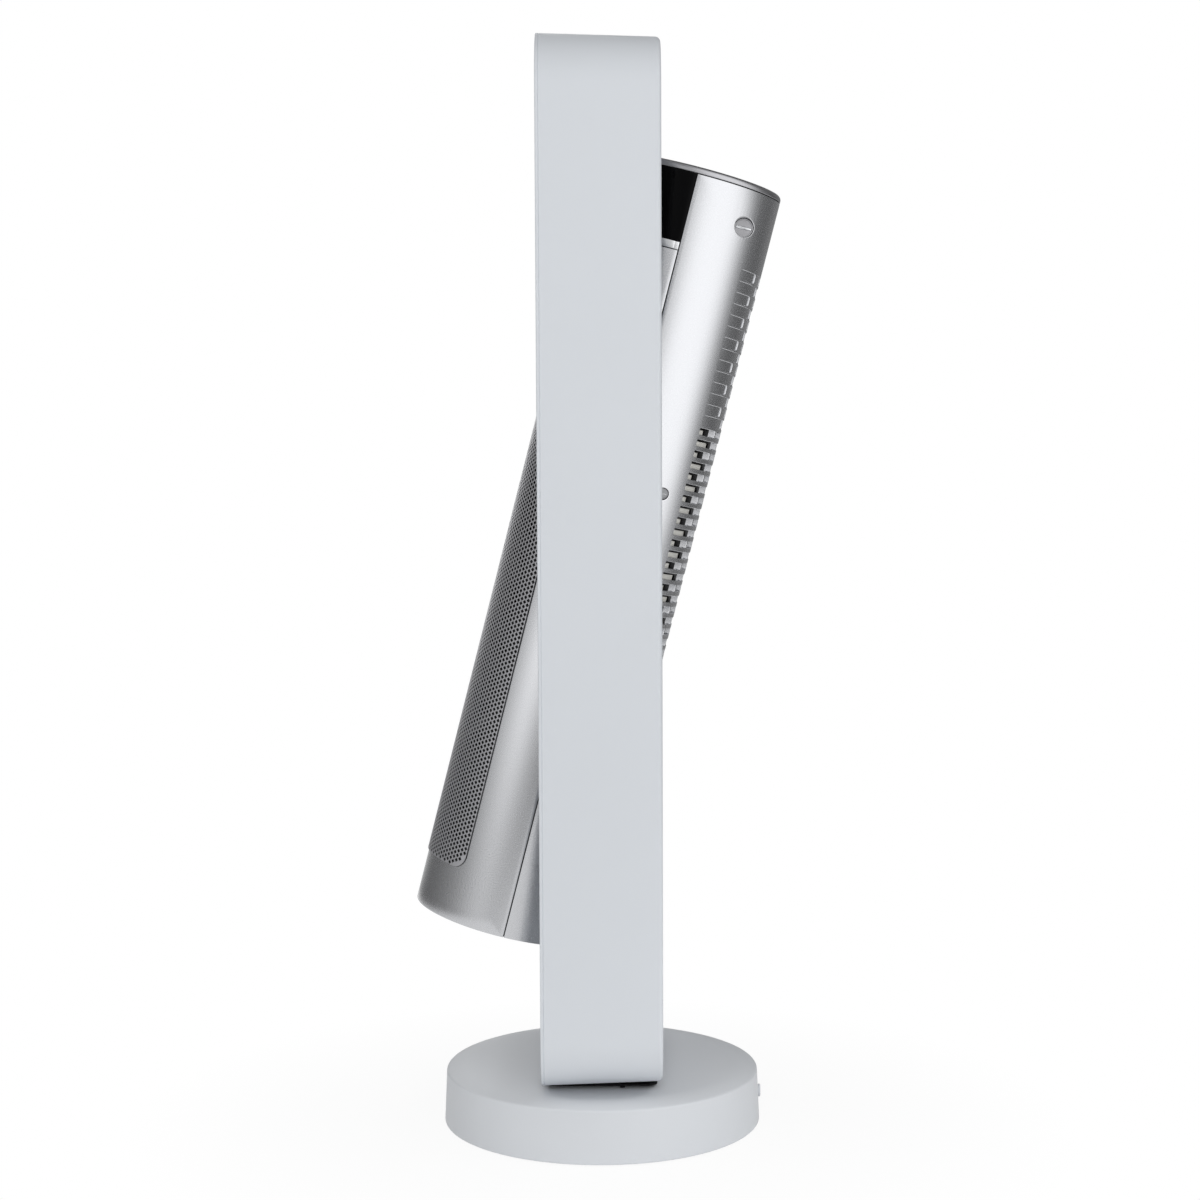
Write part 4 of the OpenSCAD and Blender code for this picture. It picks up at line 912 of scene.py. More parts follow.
@dataclass
class Neck:
    """The black neck under the hoop: its disc, the pad round it and a small nub. The pad is partly a black
    plate under the foot and partly painted shade in the gap there.

    Attributes:
        top_z: height of the hoop's foot, less the gap.
    """

    bore_r: float = 8.0
    stem_r: float = 24.0
    disc_r: float = 34.0
    edge: float = 0.4
    stem_z: float = 35.2
    disc_z: float = 39.3
    top_z: float = 41.6
    pad_size: Spot = (132.0, 72.0, 1.2)
    pad_corner: float = 6.0
    pad_bore: float = 34.2
    pad_bore_z: Span = (30.0, 50.0)
    nub_at: Spot = (63.8, 13.3, 40.0)
    nub_size: Spot = (4.0, 3.0, 1.8)
    nub_edge: float = 0.3

    def disc(self) -> Mesh:
        """The stem and the disc above it.

        Returns:
            The closed ring.
        """
        profile = [(self.bore_r, self.stem_z), (self.stem_r, self.stem_z), (self.stem_r, self.disc_z)]
        profile += [(self.disc_r - self.edge, self.disc_z), (self.disc_r, self.disc_z + self.edge)]
        return lathe(profile + [(self.disc_r, self.top_z), (self.bore_r, self.top_z)], 96)

    def pad(self) -> Mesh:
        """The thin pad under the hoop's foot, a frame with rounded corners round the disc. It is partly a
        black plate and partly painted shade under the foot.

        Returns:
            The closed pad.
        """
        tall = self.pad_size[2]
        mesh = box((0, 0, self.top_z - tall / 2), self.pad_size)
        upright = [e for e in mesh.edges if abs(e.verts[0].co.z - e.verts[1].co.z) > tall / 2]
        bevel(mesh, upright, self.pad_corner, 6)
        return carved(mesh, [round_bar(self.pad_bore, *self.pad_bore_z, 64)])

    def nub(self) -> Mesh:
        """The small nub below the pad's near edge.

        Returns:
            The closed block.
        """
        mesh = box(self.nub_at, self.nub_size)
        bevel(mesh, mesh.edges[:], self.nub_edge)
        return mesh

    def build(self) -> None:
        """Puts disc, pad and nub into one piece."""
        piece = Piece("swivel_neck_disc", Body.HOOP, BLACK_PLASTIC, Slot.DARK, ("swivel_neck",))
        piece.install(joined([self.disc(), self.pad(), self.nub()]))


@dataclass
class Hoop:
    """The tall hoop: a channel swept round a rounded rectangle and its flat front cover.

    Attributes:
        band: width of the band as the front shows it.
        draft: how much narrower its back is on each side.
        round_r: rounding of the channel's back edges.
        seam: chamfer on both sides of the seam between channel and cover.
        side_screws: screws in either side, as shares of its straight run.
        end_screws: screws in foot and top, as shares of the half straight run.
        pivot_reach: how far the pivots' bar goes to either side, short of the outer wall.
    """

    half_width: float = 98.0
    band: float = 22.0
    z0: float = 41.7
    z1: float = 711.7
    half_depth: float = 39.0
    corner: float = 34.0
    draft: float = 2.5
    wall: float = 2.6
    cover: float = 2.0
    cover_edge: float = 0.7
    round_r: float = 3.2
    seam: float = 0.35
    side_screws: tuple[float, ...] = (0.06, 0.34, 0.66, 0.94)
    end_screws: Span = (-0.62, 0.62)
    recess_r: float = 3.6
    recess_floor: float = 36.4
    recess_edge: float = 0.5
    pivot_bore: float = 12.55
    pivot_reach: float = 90.0
    foot_bore: float = 8.0
    foot_bore_z: Span = (40.0, 46.0)

    def outer(self, y: float) -> float:
        """Distance of the outer face from a corner's centre at a depth y."""
        return self.corner - self.draft * (y + self.half_depth) / (2 * self.half_depth)

    def channel_profile(self) -> Profile:
        """Section of the channel, open to the front.

        Returns:
            Points of distance from a corner's centre and depth, all round the section.
        """
        inner = self.corner - self.band
        y0 = -self.half_depth + self.cover
        y1 = self.half_depth
        r = self.round_r
        back = self.outer(y1)
        front = self.outer(y0)
        lip = self.seam
        wall = self.wall
        section = [(front - lip, y0), (front, y0 + lip)]
        section += arc((back - r, y1 - r), r, 0, 90, 10) + arc((inner + r, y1 - r), r, 90, 180, 10)
        section += [(inner, y0 + lip), (inner + lip, y0), (inner + wall, y0)]
        return section + [(inner + wall, y1 - wall), (back - wall, y1 - wall), (front - wall, y0)]

    def cover_profile(self) -> Profile:
        """Section of the front cover, with a fine rounded edge.

        Returns:
            Points of distance from a corner's centre and depth, all round the section.
        """
        inner = self.corner - self.band
        y0 = -self.half_depth
        y1 = y0 + self.cover
        r = self.cover_edge
        lip = self.seam
        outer = self.outer(y1)
        section = arc((self.corner - r, y0 + r), r, -90, 0, 4)
        section += [(outer, y1 - lip), (outer - lip, y1), (inner + lip, y1), (inner, y1 - lip)]
        return section + arc((inner + r, y0 + r), r, 180, 270, 4)

    def sweep(self, profile: Sequence[Span], steps: int = 20) -> Mesh:
        """Sweeps a section round the hoop: a quarter spin at each corner and straight runs between.

        Args:
            profile: points of distance from the corner's centre and depth.
            steps: steps of each quarter turn.

        Returns:
            The closed ring.
        """
        mesh = bmesh.new()
        x = self.half_width - self.corner
        low = self.z0 + self.corner
        high = self.z1 - self.corner
        points = [mesh.verts.new((x + u, y, low)) for u, y in profile]
        ring: Geometry = [mesh.edges.new(p) for p in zip(points, points[1:] + points[:1])]
        runs = [
            ((0, 0, high - low), (x, 0, high)),
            ((-2 * x, 0, 0), (-x, 0, high)),
            ((0, 0, low - high), (-x, 0, low)),
            ((2 * x, 0, 0), (x, 0, low)),
        ]
        for run, centre in runs:
            drawn = bmesh.ops.extrude_edge_only(mesh, edges=edges_of(ring))["geom"]
            bmesh.ops.translate(mesh, verts=vertices_of(drawn), vec=run)
            spun = bmesh.ops.spin(
                mesh,
                geom=vertices_of(drawn) + edges_of(drawn),
                cent=centre,
                axis=(0, -1, 0),
                angle=math.pi / 2,
                steps=steps,
                use_merge=False,
            )
            ring = spun["geom_last"]
        settle(mesh, 0.01)
        return mesh

    def screw_places(self) -> Profile:
        """Places of the screws in the hoop's back, from the same sizes as the solids.

        Returns:
            Pairs of x and z.
        """
        middle = self.half_width - self.band + (self.band - self.draft / 2) / 2
        low = self.z0 + self.corner
        run = self.z1 - self.corner - low
        inset = middle - (self.half_width - self.band) + self.draft / 2
        places = [(side * middle, low + share * run) for side in (-1, 1) for share in self.side_screws]
        for share in self.end_screws:
            x = share * (self.half_width - self.corner)
            places += [(x, self.z1 - inset), (x, self.z0 + inset)]
        return places

    def build(self) -> None:
        """Sweeps the channel and its cover, and bores the channel for screws, pivots and neck."""
        r, wide, back = self.recess_r, self.recess_r + self.recess_edge, self.half_depth
        recess = [(0, self.recess_floor), (r, self.recess_floor), (r, back - self.recess_edge)]
        recess += [(wide, back), (wide, back + self.wall), (0, back + self.wall)]
        tools = [along_y(solid_disc(recess, 32), x, z) for x, z in self.screw_places()]
        pivot = round_bar(self.pivot_bore, -self.pivot_reach, self.pivot_reach, 48)
        tools.append(along_x(pivot, 0, TUBE.pivot_z))
        tools.append(round_bar(self.foot_bore, *self.foot_bore_z, 32))
        channel = carved(self.sweep(self.channel_profile()), tools)
        Piece("hoop_channel", Body.HOOP, HOOP_PAINT, Slot.BODY, ("hoop_shell",), smooth=40).install(channel)
        cover = Piece("hoop_cover", Body.HOOP, HOOP_PAINT, Slot.BODY, ("hoop_front_cover",), smooth=40)
        cover.install(self.sweep(self.cover_profile()))


@dataclass(frozen=True)
class VentRow:
    """One row of the rear shell's openings.

    Attributes:
        s: height of its middle line.
        blind: whether its openings are shallow cells instead of slots.
        angles: where its ribs stand, as angles from the middle.
        rib: width of a rib.
        height: height of the openings.
        corner: radius of their corners.
    """

    s: float
    blind: bool
    angles: list[float]
    rib: float
    height: float
    corner: float


@dataclass
class Vents:
    """The rear shell's rows: blind cells above and open slots below, and the black frame of the net behind,
    which is partly painted shade in the slots.

    Attributes:
        top_s: height of the highest row.
        half_angle: angle from the middle to the ends of the rows.
        cell: rib, height and corner of the cells.
        slot: rib, height and corner of the slots.
        depth: depth of a cell.
        flare: width and depth of the openings' flared mouths.
        overlap: how far a slot's fin is wider than its rib, and the cut deeper than the fin.
        fin_root: how far the fins reach into the shell's wall.
        frame_ends: angle of the frame beyond its outermost windows.
        frame_side: angle from an outermost window to the middle of its rib.
        frame_middle: angle from any other window to the middles of its ribs.
        frame_low: how far a window goes below its slot.
        frame_drop: how far the window's top lies below the slot's, which leaves a black line, partly
            painted shade, along each slot's top.
        frame_edge: rounding of the frame and flare of its windows.
    """

    top_s: float = 451.5
    pitch: float = 7.4
    cell_rows: int = 14
    slot_rows: int = 29
    half_angle: float = 42.0
    rib_angle: float = 22.0
    cell: Spot = (1.5, 6.3, 1.5)
    slot: Spot = (2.0, 4.5, 0.9)
    depth: float = 0.65
    flare: float = 0.25
    overlap: Span = (0.05, 1.0)
    fin_r: float = 55.0
    fin_root: float = 0.1
    frame_t: float = 1.2
    frame_step: float = 3.0
    frame_ends: float = 0.7
    frame_side: float = 9.0
    frame_middle: float = 4.0
    frame_low: float = 0.5
    frame_drop: float = 1.5
    frame_corner: float = 0.5
    frame_edge: float = 0.1

    def rows(self) -> list[VentRow]:
        """Every row from the top down, the ribs of each second one half a step aside.

        Returns:
            The rows.
        """
        found = []
        reach = math.ceil(self.half_angle / self.rib_angle)
        for number in range(self.cell_rows + self.slot_rows):
            blind = number < self.cell_rows
            shift = (number if blind else number - self.cell_rows) % 2 / 2
            angles = [(k + shift) * self.rib_angle for k in range(-reach, reach + 1)]
            angles = [a for a in angles if abs(a) < self.half_angle - self.rib_angle / 2]
            sizes = self.cell if blind else self.slot
            found.append(VentRow(self.top_s - number * self.pitch, blind, angles, *sizes))
        return found

    def carve(self, sheet: BentSheet) -> Mesh:
        """Adds the fins to the flat sheet and cuts every cell and slot.

        Args:
            sheet: the rear shell's sheet.

        Returns:
            The flat mesh with all openings.
        """
        fins = []
        pockets = []
        side = sheet.across(self.half_angle)
        fin_z = self.fin_r - sheet.outer_r
        wider, deeper = self.overlap
        for row in self.rows():
            floor = -self.depth if row.blind else fin_z - deeper
            places = [sheet.across(a) for a in row.angles]
            starts = [-side] + [x + row.rib / 2 for x in places]
            ends = [x - row.rib / 2 for x in places] + [side]
            along = (row.s - row.height / 2, row.s + row.height / 2)
            for span in zip(starts, ends):
                pockets.append(sheet.pocket(span, along, floor, row.corner, self.flare))
            for x in [] if row.blind else places:
                low = (sheet.flat_x(x - row.rib / 2) - wider, row.s - self.pitch / 2, fin_z)
                high = (sheet.flat_x(x + row.rib / 2) + wider, row.s + self.pitch / 2)
                fins.append(sheet.block(low, (*high, self.fin_root - sheet.wall)))
        return carved(carved(sheet.slab(), fins, Carving.ADD), pockets)

    def frame(self) -> Mesh:
        """The black frame that holds the dust net behind the slots, with a window behind each slot. Its
        bars beside the fins and along the slots' tops are partly a real holder and partly painted shade.

        Returns:
            The frame in the tube's coordinates.
        """
        end = self.half_angle
        edge = self.frame_edge
        slots = [row for row in self.rows() if not row.blind]
        reach = (slots[-1].s - self.pitch / 2, slots[0].s + self.pitch / 2)
        outer_r = self.fin_r + self.frame_t
        sheet = BentSheet(Facing.REAR, *reach, end, outer_r=outer_r, wall=self.frame_t - edge, edge=edge)
        windows = []
        for row in slots:
            along = (row.s - row.height / 2 - self.frame_low, row.s + row.height / 2 - self.frame_drop)
            edges = [-end] + row.angles + [end]
            for low, high in zip(edges, edges[1:]):
                bar = self.frame_side if -end in (low, -high) else self.frame_middle
                left = low + (self.frame_ends if low == -end else bar)
                right = high - (self.frame_ends if high == end else bar)
                span = (sheet.across(left), sheet.across(right))
                through = -self.frame_t - self.frame_low
                windows.append(sheet.pocket(span, along, through, self.frame_corner, edge))
        between = [row.s + self.pitch / 2 for row in slots]
        return sheet.bent(carved(sheet.slab(), windows), self.frame_step, between)


@dataclass(frozen=True)
class Recess:
    """A plugged screw recess in the side of the rear shell.

    Attributes:
        floor: distance x of its floor.
        face: distance x of its plug's face.
        reach: distances x between which its bar bores.
        wall: how deep its wall's rim goes below the tube's face.
        rim_edge: slope on either side of the plug's raised rim.
        rim_t: width of that rim.
        sink: depth of the plug's face below the rim.
        bar_share: the grip bar's radius as a share of the recess's.
        bar_gap: gap at the bar's ends.
    """

    y: float
    s: float
    radius: float
    floor: float
    face: float
    reach: Span = (20.0, 70.0)
    wall: float = 2.4
    gap: float = 0.3
    plug_t: float = 1.5
    rim_edge: float = 0.2
    rim_t: float = 0.5
    sink: float = 0.5
    bar_share: float = 0.15
    bar_gap: float = 1.1

    def cutter(self, rim: float) -> Mesh:
        """The pair of bars that bore the recess on both sides.

        Args:
            rim: width of the chamfer round the mouth.

        Returns:
            Two closed bars in the tube's coordinates.
        """
        return mirrored(along_x(round_bar(self.radius + rim, *self.reach, 64), self.y, self.s))

    def cup(self, rim: float, outer_r: float) -> Mesh:
        """The recess's wall, whose chamfered mouth follows the tube's curve.

        Args:
            rim: width of the chamfer round the mouth.
            outer_r: the tube's outer radius.

        Returns:
            The closed wall on one side.
        """
        r, wide = self.radius, self.radius + rim
        slope = 0.3 * rim
        # Each ring of the mouth is lathed at its own mark far above the tube, and is then lowered to
        # this depth below the tube's curved face
        marks = {100.0: rim + self.gap, 101.0: slope, 102.0: 0.03, 103.0: self.wall}
        rings = zip((r, r + slope, wide, wide), marks)
        cup = lathe([(r, self.floor), *rings, (wide, self.floor)], 64)
        for vertex in cup.verts:
            depth = marks.get(round(vertex.co.z, 3))
            if depth is not None:
                vertex.co.z = math.sqrt((outer_r - depth) ** 2 - (self.y + vertex.co.y) ** 2)
        return along_x(cup, self.y, self.s)

    def plug(self) -> Mesh:
        """The plug on one side: a flat disc with a raised rim.

        Returns:
            The closed plug.
        """
        rim = self.radius - self.gap
        face, edge = self.face, self.rim_edge
        back = face - self.plug_t
        inner = rim - edge - self.rim_t
        disc = [(0, back), (rim, back), (rim, face - edge), (rim - edge, face), (inner, face)]
        disc += [(inner - edge, face - self.sink), (0, face - self.sink)]
        return along_x(solid_disc(disc, 64), self.y, self.s)

    def bar(self) -> Mesh:
        """The half-round grip bar across the plug on one side.

        Returns:
            The closed bar, half sunk in the plug.
        """
        r = self.radius * self.bar_share
        end = self.radius - self.bar_gap - r
        rod = arc((0, end), r, 90, 0, 4) + arc((0, -end), r, 0, -90, 4)
        place = Matrix.Translation((self.face - self.sink, self.y, self.s))
        return move(along_y(solid_disc(rod, 24)), place)


@dataclass
class OutletMesh:
    """The outlet's punched sheet: a grid whose every other corner is bevelled into a hole.

    Attributes:
        ends: its lower and upper end.
        hole_r: from a hole's middle to its corners.
        slack: how far a point of the hole may stray from that.
        margin: width of the plain strip at either side.
        border: width of the plain strip at the corners.
        one_column: a column's angle, so wide that bending adds none to the fine grid.
    """

    ends: Span = (34.5, 360.5)
    half_angle: float = 55.6
    outer_r: float = 60.95
    thick: float = 0.3
    columns: int = 44
    rows: int = 211
    hole_r: float = 1.46
    slack: float = 0.01
    margin: float = 1.6
    corner: float = 9.0
    corner_steps: int = 8
    border: float = 1.5
    one_column: float = 360.0

    def punch(self, sheet: BentSheet) -> Mesh:
        """Draws the grid and opens a hole at every other corner.

        Args:
            sheet: the sheet to punch.

        Returns:
            The flat face with its holes.
        """
        wide = sheet.flat(self.half_angle)
        high = (sheet.s1 - sheet.s0) / 2
        middle = (sheet.s0 + sheet.s1) / 2
        mesh = bmesh.new()
        # The outermost columns are drawn in to the sheet's sides and leave the plain margin
        reach = (wide - self.margin) * self.columns / (self.columns - 2)
        place = Matrix.Translation((0, middle, 0)) @ Matrix.Diagonal((reach, high, 1, 1))
        bmesh.ops.create_grid(mesh, x_segments=self.columns, y_segments=self.rows, size=1.0, matrix=place)
        step = Vector((2 * reach / self.columns, 2 * high / self.rows))
        points = {}
        for vertex in mesh.verts:
            i = round((vertex.co.x + reach) / step.x)
            vertex.co.x = max(-wide, min(wide, vertex.co.x))
            j = round((vertex.co.y - sheet.s0) / step.y)
            u = max(0.0, abs(vertex.co.x) - (wide - self.corner))
            v = max(0.0, abs(vertex.co.y - middle) - (high - self.corner))
            if (i + j) % 2 == 0 and math.hypot(u, v) < self.corner - self.border:
                points[i, j] = vertex
        bevel(mesh, list(points.values()), self.hole_r, 1, Bevelled.CORNERS, clamp=False)
        holes = []
        for face in mesh.faces:
            spot = face.calc_center_median()
            i, j = round((spot.x + reach) / step.x), round((spot.y - sheet.s0) / step.y)
            centre = Vector((i * step.x - reach, j * step.y + sheet.s0, 0))
            far = max((v.co - centre).length for v in face.verts)
            if (i, j) in points and far < self.hole_r + self.slack:
                holes.append(face)
        bmesh.ops.delete(mesh, geom=holes, context="FACES")
        return mesh

    def trim(self, mesh: Mesh, sheet: BentSheet) -> None:
        """Cuts the sheet's corners round, one chord after another.

        Args:
            mesh: the flat face to trim.
            sheet: the sheet that it belongs to.
        """
        wide = sheet.flat(self.half_angle) - self.corner
        high = (sheet.s1 - sheet.s0) / 2 - self.corner
        middle = (sheet.s0 + sheet.s1) / 2
        for sx, sy, turn in product((-1, 1), (-1, 1), range(1, self.corner_steps)):
            angle = math.radians(turn * 90 / self.corner_steps)
            way = Vector((sx * math.cos(angle), sy * math.sin(angle), 0))
            spot = Vector((sx * wide, middle + sy * high, 0)) + way * self.corner
            geom = mesh.faces[:] + mesh.edges[:] + mesh.verts[:]
            bmesh.ops.bisect_plane(
                mesh, geom=geom, dist=0.0005, plane_co=spot, plane_no=way, clear_outer=True
            )

    def build(self) -> Mesh:
        """Punches and trims the face, thickens it and bends it round the tube.

        Returns:
            The sheet in the tube's coordinates.
        """
        sheet = BentSheet(Facing.FRONT, *self.ends, self.half_angle, outer_r=self.outer_r)
        mesh = self.punch(sheet)
        self.trim(mesh, sheet)
        drawn = bmesh.ops.extrude_face_region(mesh, geom=mesh.faces[:], use_keep_orig=True)["geom"]
        bmesh.ops.translate(mesh, verts=vertices_of(drawn), vec=(0, 0, -self.thick))
        bmesh.ops.recalc_face_normals(mesh, faces=mesh.faces[:])
        return sheet.bent(mesh, self.one_column)


@dataclass
class Buttons:
    """The four round push buttons in the top cap.

    Attributes:
        names: what each button does, as its body and node are called.
        hole_s: heights between which the holes are bored.
        hole_over: how far the chamfer's bar stands above the cap.
        flange_s: heights of the flange's faces.
        top_s: height of the head's rim.
        dish_r: radius of the dished part.
        dish: depth of the dish at that radius and in the middle.
    """

    names: tuple[str, ...] = ("power", "heat", "timer", "swing")
    pitch: float = 16.0
    y: float = -12.0
    hole_r: float = 5.8
    hole_s: Span = (500.0, 515.0)
    hole_edge: float = 0.6
    hole_over: float = 0.2
    stem_r: float = 2.0
    stem_s: float = 501.1
    flange_r: float = 7.0
    flange_s: Span = (503.5, 504.5)
    head_r: float = 5.5
    head_edge: float = 0.8
    top_s: float = 509.8
    dish_r: float = 2.5
    dish: Span = (0.15, 0.2)

    def spots(self) -> list[Matrix]:
        """The buttons' places in the tube's coordinates, in the order of their names."""
        half = (len(self.names) - 1) / 2
        return [Matrix.Translation(((i - half) * self.pitch, self.y, 0)) for i in range(len(self.names))]

    def holes(self, top: float) -> list[Mesh]:
        """The bars that bore the cap's holes.

        Args:
            top: height of the cap's face.

        Returns:
            One closed bar for each button.
        """
        r, wide = self.hole_r, self.hole_r + self.hole_edge
        low, high = self.hole_s
        mouth = top + self.hole_over
        profile = [(0, low), (r, low), (r, mouth - self.hole_edge), (wide, mouth), (wide, high), (0, high)]
        return [move(solid_disc(profile, 48), spot) for spot in self.spots()]

    def build(self) -> None:
        """Lathes each button with a rounded, slightly dished head."""
        low, high = self.flange_s
        profile = [(0, self.stem_s), (self.stem_r, self.stem_s), (self.stem_r, low), (self.flange_r, low)]
        profile += [(self.flange_r, high), (self.head_r, high)]
        centre = (self.head_r - self.head_edge, self.top_s - self.head_edge)
        profile += arc(centre, self.head_edge, 0, 90, 6)
        profile += [(self.dish_r, self.top_s - self.dish[0]), (0, self.top_s - self.dish[1])]
        for name, spot in zip(self.names, self.spots()):
            node = (f"{name}_button",)
            piece = Piece(f"{name}_key", Body(name), TRIM_AND_HIGHLIGHT_PAINT, Slot.TRIM, node, TUBE.place, 40)
            piece.install(move(solid_disc(profile, 64), spot))


@dataclass
class Tube:
    """The heater tube's outside: shells, cap, window, trim, outlet and plugs.

    Attributes:
        front_splits: heights where the front shell is split, so that no face gets long.
        trim_t: thickness of the bar and the window.
        trim_stop: distance y of the bar's ends from the tube's middle plane.
        trim_sink: how far the end blocks lie below the bar.
        cap_foot: chamfer of the cap's lower edge.
        seam_y: depth y of the seam between the shells.
        seam_gap: gap on either side of the black strip in it.
        shade_strip: depth of the black strip's middle below the tube's face, and its thickness; the strip
            is painted shade in the seam's gap.
        shade_strip_short: how much shorter the strip is than the shell.
        ring: how deep the inner and outer face of the black ring under the cap lie; the ring is painted
            shade in the gap there.
        collar_reach: how far the bar that bores for the collars goes to either side.
        outlet_depth: how far the outlet's cutter goes beyond the wall.
        outlet_pull: angle beyond the outlet up to which walls come out parallel to the y axis.
        gasket_lap: how far the gasket shows round the punched sheet.
        gasket_bore: how far the gasket's cutter goes to either side.
        shade_plate_y: depths y of the black plate's front and back; the plate is painted shade inside the
            outlet.
        buttons: the buttons whose holes the cap has.
        recesses: the screw recesses of one side.
    """

    radius: float = 60.0
    wall: float = 2.6
    top_s: float = 504.2
    front_top_s: float = 454.8
    front_splits: Sequence[int] = range(10, 450, 20)
    window_s: Span = (460.4, 504.2)
    window_edge: float = 0.2
    trim_s: Span = (455.3, 460.2)
    trim_t: float = 2.5
    trim_edge: float = 0.35
    trim_stop: float = 1.2
    trim_sink: float = 0.6
    cap_s: Span = (504.8, 509.0)
    cap_edge: float = 3.0
    cap_foot: float = 0.25
    seam_y: float = 2.0
    seam: float = 0.6
    seam_gap: float = 0.02
    shade_strip: Span = (1.7, 1.6)
    shade_strip_short: float = 1.0
    ring: Span = (2.4, 0.9)
    collar_r: float = 15.2
    collar_reach: float = 90.0
    outlet_s: Span = (45.5, 349.5)
    outlet_half_angle: float = 46.0
    outlet_corner: float = 3.0
    outlet_depth: float = 1.0
    outlet_pull: float = 1.0
    outlet_mesh: OutletMesh = field(default_factory=OutletMesh)
    gasket_lap: float = 0.15
    gasket_gap: float = 0.02
    gasket_bore: float = 2.0
    shade_plate_t: float = 1.2
    shade_plate_y: Span = (-59.8, -42.4)
    shade_plate_edge: float = 0.2
    recess_rim: float = 0.45
    vents: Vents = field(default_factory=Vents)
    buttons: Buttons = field(default_factory=Buttons)
    recesses: tuple[Recess, ...] = (
        Recess(39.5, 480.6, 6.4, 33.9, 37.7),
        Recess(31.0, 303.2, 4.0, 44.9, 47.2),
    )

    def half_angle(self, facing: Facing) -> float:
        """Angle from a shell's middle to the seam."""
        y = self.seam_y + facing.value * self.seam / 2
        return math.degrees(math.acos(facing.value * y / self.radius))

    def collar_cutter(self) -> Mesh:
        """The round bar that clears the pivot collars."""
        bar = round_bar(self.collar_r, -self.collar_reach, self.collar_reach, 96)
        return along_x(bar, 0, TUBE.pivot_s)

    def piece(self, name: str, finish: Finish, slot: Slot, node: str, mesh: Mesh) -> None:
        """Installs one piece that rides on the tube.

        Args:
            name: the piece's name.
            finish: its finish.
            slot: its material slot.
            node: the node that it replaces, or nothing.
            mesh: its mesh in the tube's coordinates.
        """
        Piece(name, Body.TUBE, finish, slot, (node,) if node else (), TUBE.place, 30).install(mesh)

    def build_rear(self) -> None:
        """Cuts the vents in the flat, bends the sheet and bores the collars and recesses."""
        vents = self.vents
        half = self.half_angle(Facing.REAR)
        sheet = BentSheet(Facing.REAR, 0.0, self.top_s, half, wall=self.wall, pull_angle=vents.half_angle)
        between = [row.s + vents.pitch / 2 for row in vents.rows()]
        shell = sheet.bent(vents.carve(sheet), heights=between)
        bars = [self.collar_cutter()] + [recess.cutter(self.recess_rim) for recess in self.recesses]
        self.piece("tube_rear_shell", TUBE_PAINT, Slot.BODY, "rear_shell", carved(shell, bars))

    def build_recesses(self) -> None:
        """Builds the recess walls, the plugs at their floors and the plugs' grip bars."""
        cups = [recess.cup(self.recess_rim, self.radius) for recess in self.recesses]
        # The recess walls take the bright trim lacquer as a painted highlight on their rims
        self.piece("recess_walls", TRIM_AND_HIGHLIGHT_PAINT, Slot.BODY, "", mirrored(joined(cups)))
        plugs = [recess.plug() for recess in self.recesses]
        # The plugs take the darker lacquer as painted shade in their recesses
        self.piece("recess_plugs", CAP_PAINT, Slot.PLUG, "screw_plugs", mirrored(joined(plugs)))
        # The grip bars take the bright trim lacquer as a painted highlight
        bars = [recess.bar() for recess in self.recesses]
        self.piece("recess_plug_bars", TRIM_AND_HIGHLIGHT_PAINT, Slot.TRIM, "", mirrored(joined(bars)))

    def build_front(self) -> None:
        """Builds the lower front shell with its outlet opening."""
        half = self.half_angle(Facing.FRONT)
        pull = self.outlet_half_angle + self.outlet_pull
        sheet = BentSheet(Facing.FRONT, 0.0, self.front_top_s, half, wall=self.wall, pull_angle=pull)
        side = sheet.across(self.outlet_half_angle)
        floor = -self.wall - self.outlet_depth
        outlet = sheet.pocket((-side, side), self.outlet_s, floor, self.outlet_corner, sheet.edge)
        shell = sheet.bent(carved(sheet.slab(), [outlet]), heights=self.front_splits)
        shell = carved(shell, [self.collar_cutter()])
        self.piece("tube_front_shell", TUBE_PAINT, Slot.BODY, "front_shell", shell)

    def build_seams(self) -> None:
        """Builds the black strips in the seams between the shells and the black ring below the cap: painted
        shade in the gaps.
        """
        depth, thick = self.shade_strip
        size = (thick, self.seam - 2 * self.seam_gap, self.top_s - self.shade_strip_short)
        strips = []
        for side in (-1, 1):
            strip = box((side * (self.radius - depth), self.seam_y, self.top_s / 2), size)
            strips.append(carved(strip, [self.collar_cutter()]))
        inner, outer = (self.radius - depth for depth in self.ring)
        low, high = self.top_s + self.seam_gap, self.cap_s[0] - self.seam_gap
        strips.append(lathe([(inner, low), (outer, low), (outer, high), (inner, high)], 160))
        # The black strips and ring are painted shade in the seams' gaps
        self.piece("seam_shade_strips", BLACK_PLASTIC, Slot.DARK, "", joined(strips))

    def build_window(self) -> None:
        """Builds the gloss black window, and the trim bar below it with its end blocks."""
        half = self.half_angle(Facing.FRONT)
        thick, edge, sink = self.trim_t, self.window_edge, self.trim_sink
        glass = BentSheet(Facing.FRONT, *self.window_s, half, wall=thick, edge=edge)
        self.piece("front_window", WINDOW_GLOSS, Slot.WINDOW, "display_window", glass.bent(glass.slab()))
        short = math.degrees(math.acos(self.trim_stop / self.radius))
        bar = BentSheet(Facing.FRONT, *self.trim_s, short, wall=thick, edge=self.trim_edge)
        ends = replace(bar, half_angle=half, outer_r=self.radius - sink, wall=thick - sink, edge=edge)
        both = joined([bar.bent(bar.slab()), ends.bent(ends.slab())])
        self.piece("window_trim_bar", TRIM_AND_HIGHLIGHT_PAINT, Slot.TRIM, "trim_bar", both)

    def build_cap(self) -> None:
        """Lathes the top cap and bores its four button holes."""
        s0, s1 = self.cap_s
        r, foot, edge = self.radius, self.cap_foot, self.cap_edge
        profile = [(0, s0), (r - foot, s0), (r, s0 + foot)]
        profile += arc((r - edge, s1 - edge), edge, 0, 90, 10) + [(0, s1)]
        cap = carved(solid_disc(profile, 160), self.buttons.holes(s1))
        self.piece("tube_top_cap", CAP_PAINT, Slot.BODY, "top_cap", cap)

